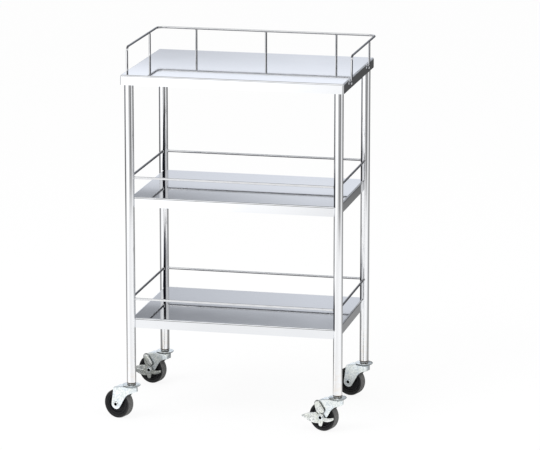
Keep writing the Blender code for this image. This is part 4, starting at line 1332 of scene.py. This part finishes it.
def backFinish():
    s = stageShape
    material, start = newFinish("backCard")
    x, y, z = coordsOf(start, "Object")
    leftStops, rightStops = [[(stop[0], stop[column]) for stop in s["backStops"]] for column in (1, 2)]
    sideStops = [(height, level * s["sideShare"]) for height, level in rightStops]
    left, right, side = [rampOf(start, stops, z, 0.0, s["backCard"]["high"], s["tint"])
                         for stops in (leftStops, rightStops, sideStops)]
    side = between(z, s["sideRise"]).blend(s["sideLow"], side)
    glowing(start, between(x, s["backEdge"]).blend(between(x, s["backTurn"]).blend(left, right), side))
    return material


def surroundFinish():
    s = stageShape
    material, start = newFinish("surround")
    x, y, z = coordsOf(start, "Object")
    angle = turnOf(start, x, y)
    reach = (x * x + y * y) ** 0.5
    near, far = roundRamp(start, s["nearStops"], angle), roundRamp(start, s["farStops"], angle)
    glowing(start, between(reach, s["surround"]["blend"]).blend(near, far))
    return material


def floorFinish():
    s = stageShape
    material, start = newFinish("paleFloor")
    camera, through, glossy = raysOf(start)
    share = ((camera + through) * s["floorGlow"] + glossy * s["floorShine"]).atMost(1.0)
    plain = start.node("ShaderNodeBsdfDiffuse", {"Color": s["floorColour"]})
    white = start.node("ShaderNodeEmission", {"Color": s["white"]})
    both = start.node("ShaderNodeMixShader", {0: share, 1: plain, 2: white})
    start.node("ShaderNodeOutputMaterial", {"Surface": both})
    return material


def stageSheet(name, points, material, onlyReflected=True):
    mesh = bpy.data.meshes.new(name)
    mesh.from_pydata(points, [], [tuple(range(len(points)))])
    mesh.materials.append(material)
    sheet = linked(name, mesh)
    if onlyReflected:
        sheet.visible_camera = False
        sheet.visible_diffuse = False
        sheet.visible_shadow = False
        sheet.visible_transmission = False


def makeWorld():
    s = stageShape
    world = bpy.data.worlds.new("studio")
    bpy.context.scene.world = world
    world.use_nodes = True
    world.node_tree.nodes.clear()
    start = Wire(world.node_tree)
    camera, through, glossy = raysOf(start)
    x, y, height = coordsOf(start, "Generated")
    angle = turnOf(start, x, y)
    off = start.maths("ABSOLUTE", angle - s["frontMiddle"], 0.0)
    above, front = [rampOf(start, s[stops], height, 0.0, 1.0) for stops in ("skyStops", "frontStops")]
    reflected = between(off, s["frontTurn"]).blend(above, front)
    reflected = between(height, s["lowTop"]).blend(reflected, roundRamp(start, s["lowStops"], angle))
    plain = (camera + through).atMost(1.0).blend(s["ambient"], s["white"])
    sky = start.node("ShaderNodeBackground", {"Color": glossy.blend(plain, reflected)})
    start.node("ShaderNodeOutputWorld", {"Surface": sky})


def makeStage():
    half, card, ring = stageShape["floorSize"] / 2, stageShape["backCard"], stageShape["surround"]
    square = [(-half, -half, 0), (half, -half, 0), (half, half, 0), (-half, half, 0)]
    stageSheet("floor", square, floorFinish(), False)
    ends = [("left", "low"), ("right", "low"), ("right", "high"), ("left", "high")]
    stageSheet("backCard", [(card[side], card["y"], card[level]) for side, level in ends], backFinish())
    turns = [2 * pi * side / ring["sides"] for side in range(ring["sides"])]
    disc = [(ring["far"] * sin(turn), ring["far"] * cos(turn), ring["height"]) for turn in turns]
    stageSheet("surround", disc, surroundFinish())
    makeWorld()


lampShape = {
    "key": {"place": (-1.8, -2.6, 3.2), "size": 2.2, "power": 70.0, "aim": (0, 0, 0.45)},
    "fill": {"place": (2.6, -1.6, 2.2), "size": 2.0, "power": 22.0, "aim": (0, 0, 0.45)},
}


def makeLamps():
    for name, lamp in lampShape.items():
        data = bpy.data.lights.new(name, "AREA")
        data.shape = "SQUARE"
        data.size = lamp["size"]
        data.energy = lamp["power"]
        item = linked(name, data)
        item.visible_glossy = False
        item.location = lamp["place"]
        item.rotation_euler = (Vector(lamp["aim"]) - item.location).to_track_quat("-Z", "Y").to_euler()


cameraShape = {
    "azimuth": 12.89, "elevation": 13.03, "distance": 8.839, "target": (0.0533, 0.0122, 0.493),
    "lens": 226.667, "sensor": 36.0, "clipEnd": 200.0,
}


def makeCamera():
    c = cameraShape
    turn, rise = radians(c["azimuth"]), radians(c["elevation"])
    away = Vector((sin(turn) * cos(rise), -cos(turn) * cos(rise), sin(rise)))
    target = Vector(c["target"]) + Vector((cartMiddle.x, cartMiddle.y, 0))
    data = bpy.data.cameras.new("camera")
    data.lens = c["lens"]
    data.sensor_width = c["sensor"]
    data.clip_end = c["clipEnd"]
    camera = linked("camera", data)
    camera.location = target + away * c["distance"]
    camera.rotation_euler = (-away).to_track_quat("-Z", "Y").to_euler()
    bpy.context.scene.camera = camera


makeStage()
makeLamps()
makeCamera()
bpy.context.scene.view_settings.view_transform = "Standard"
print("stage: pale floor, cards, lamps and camera")
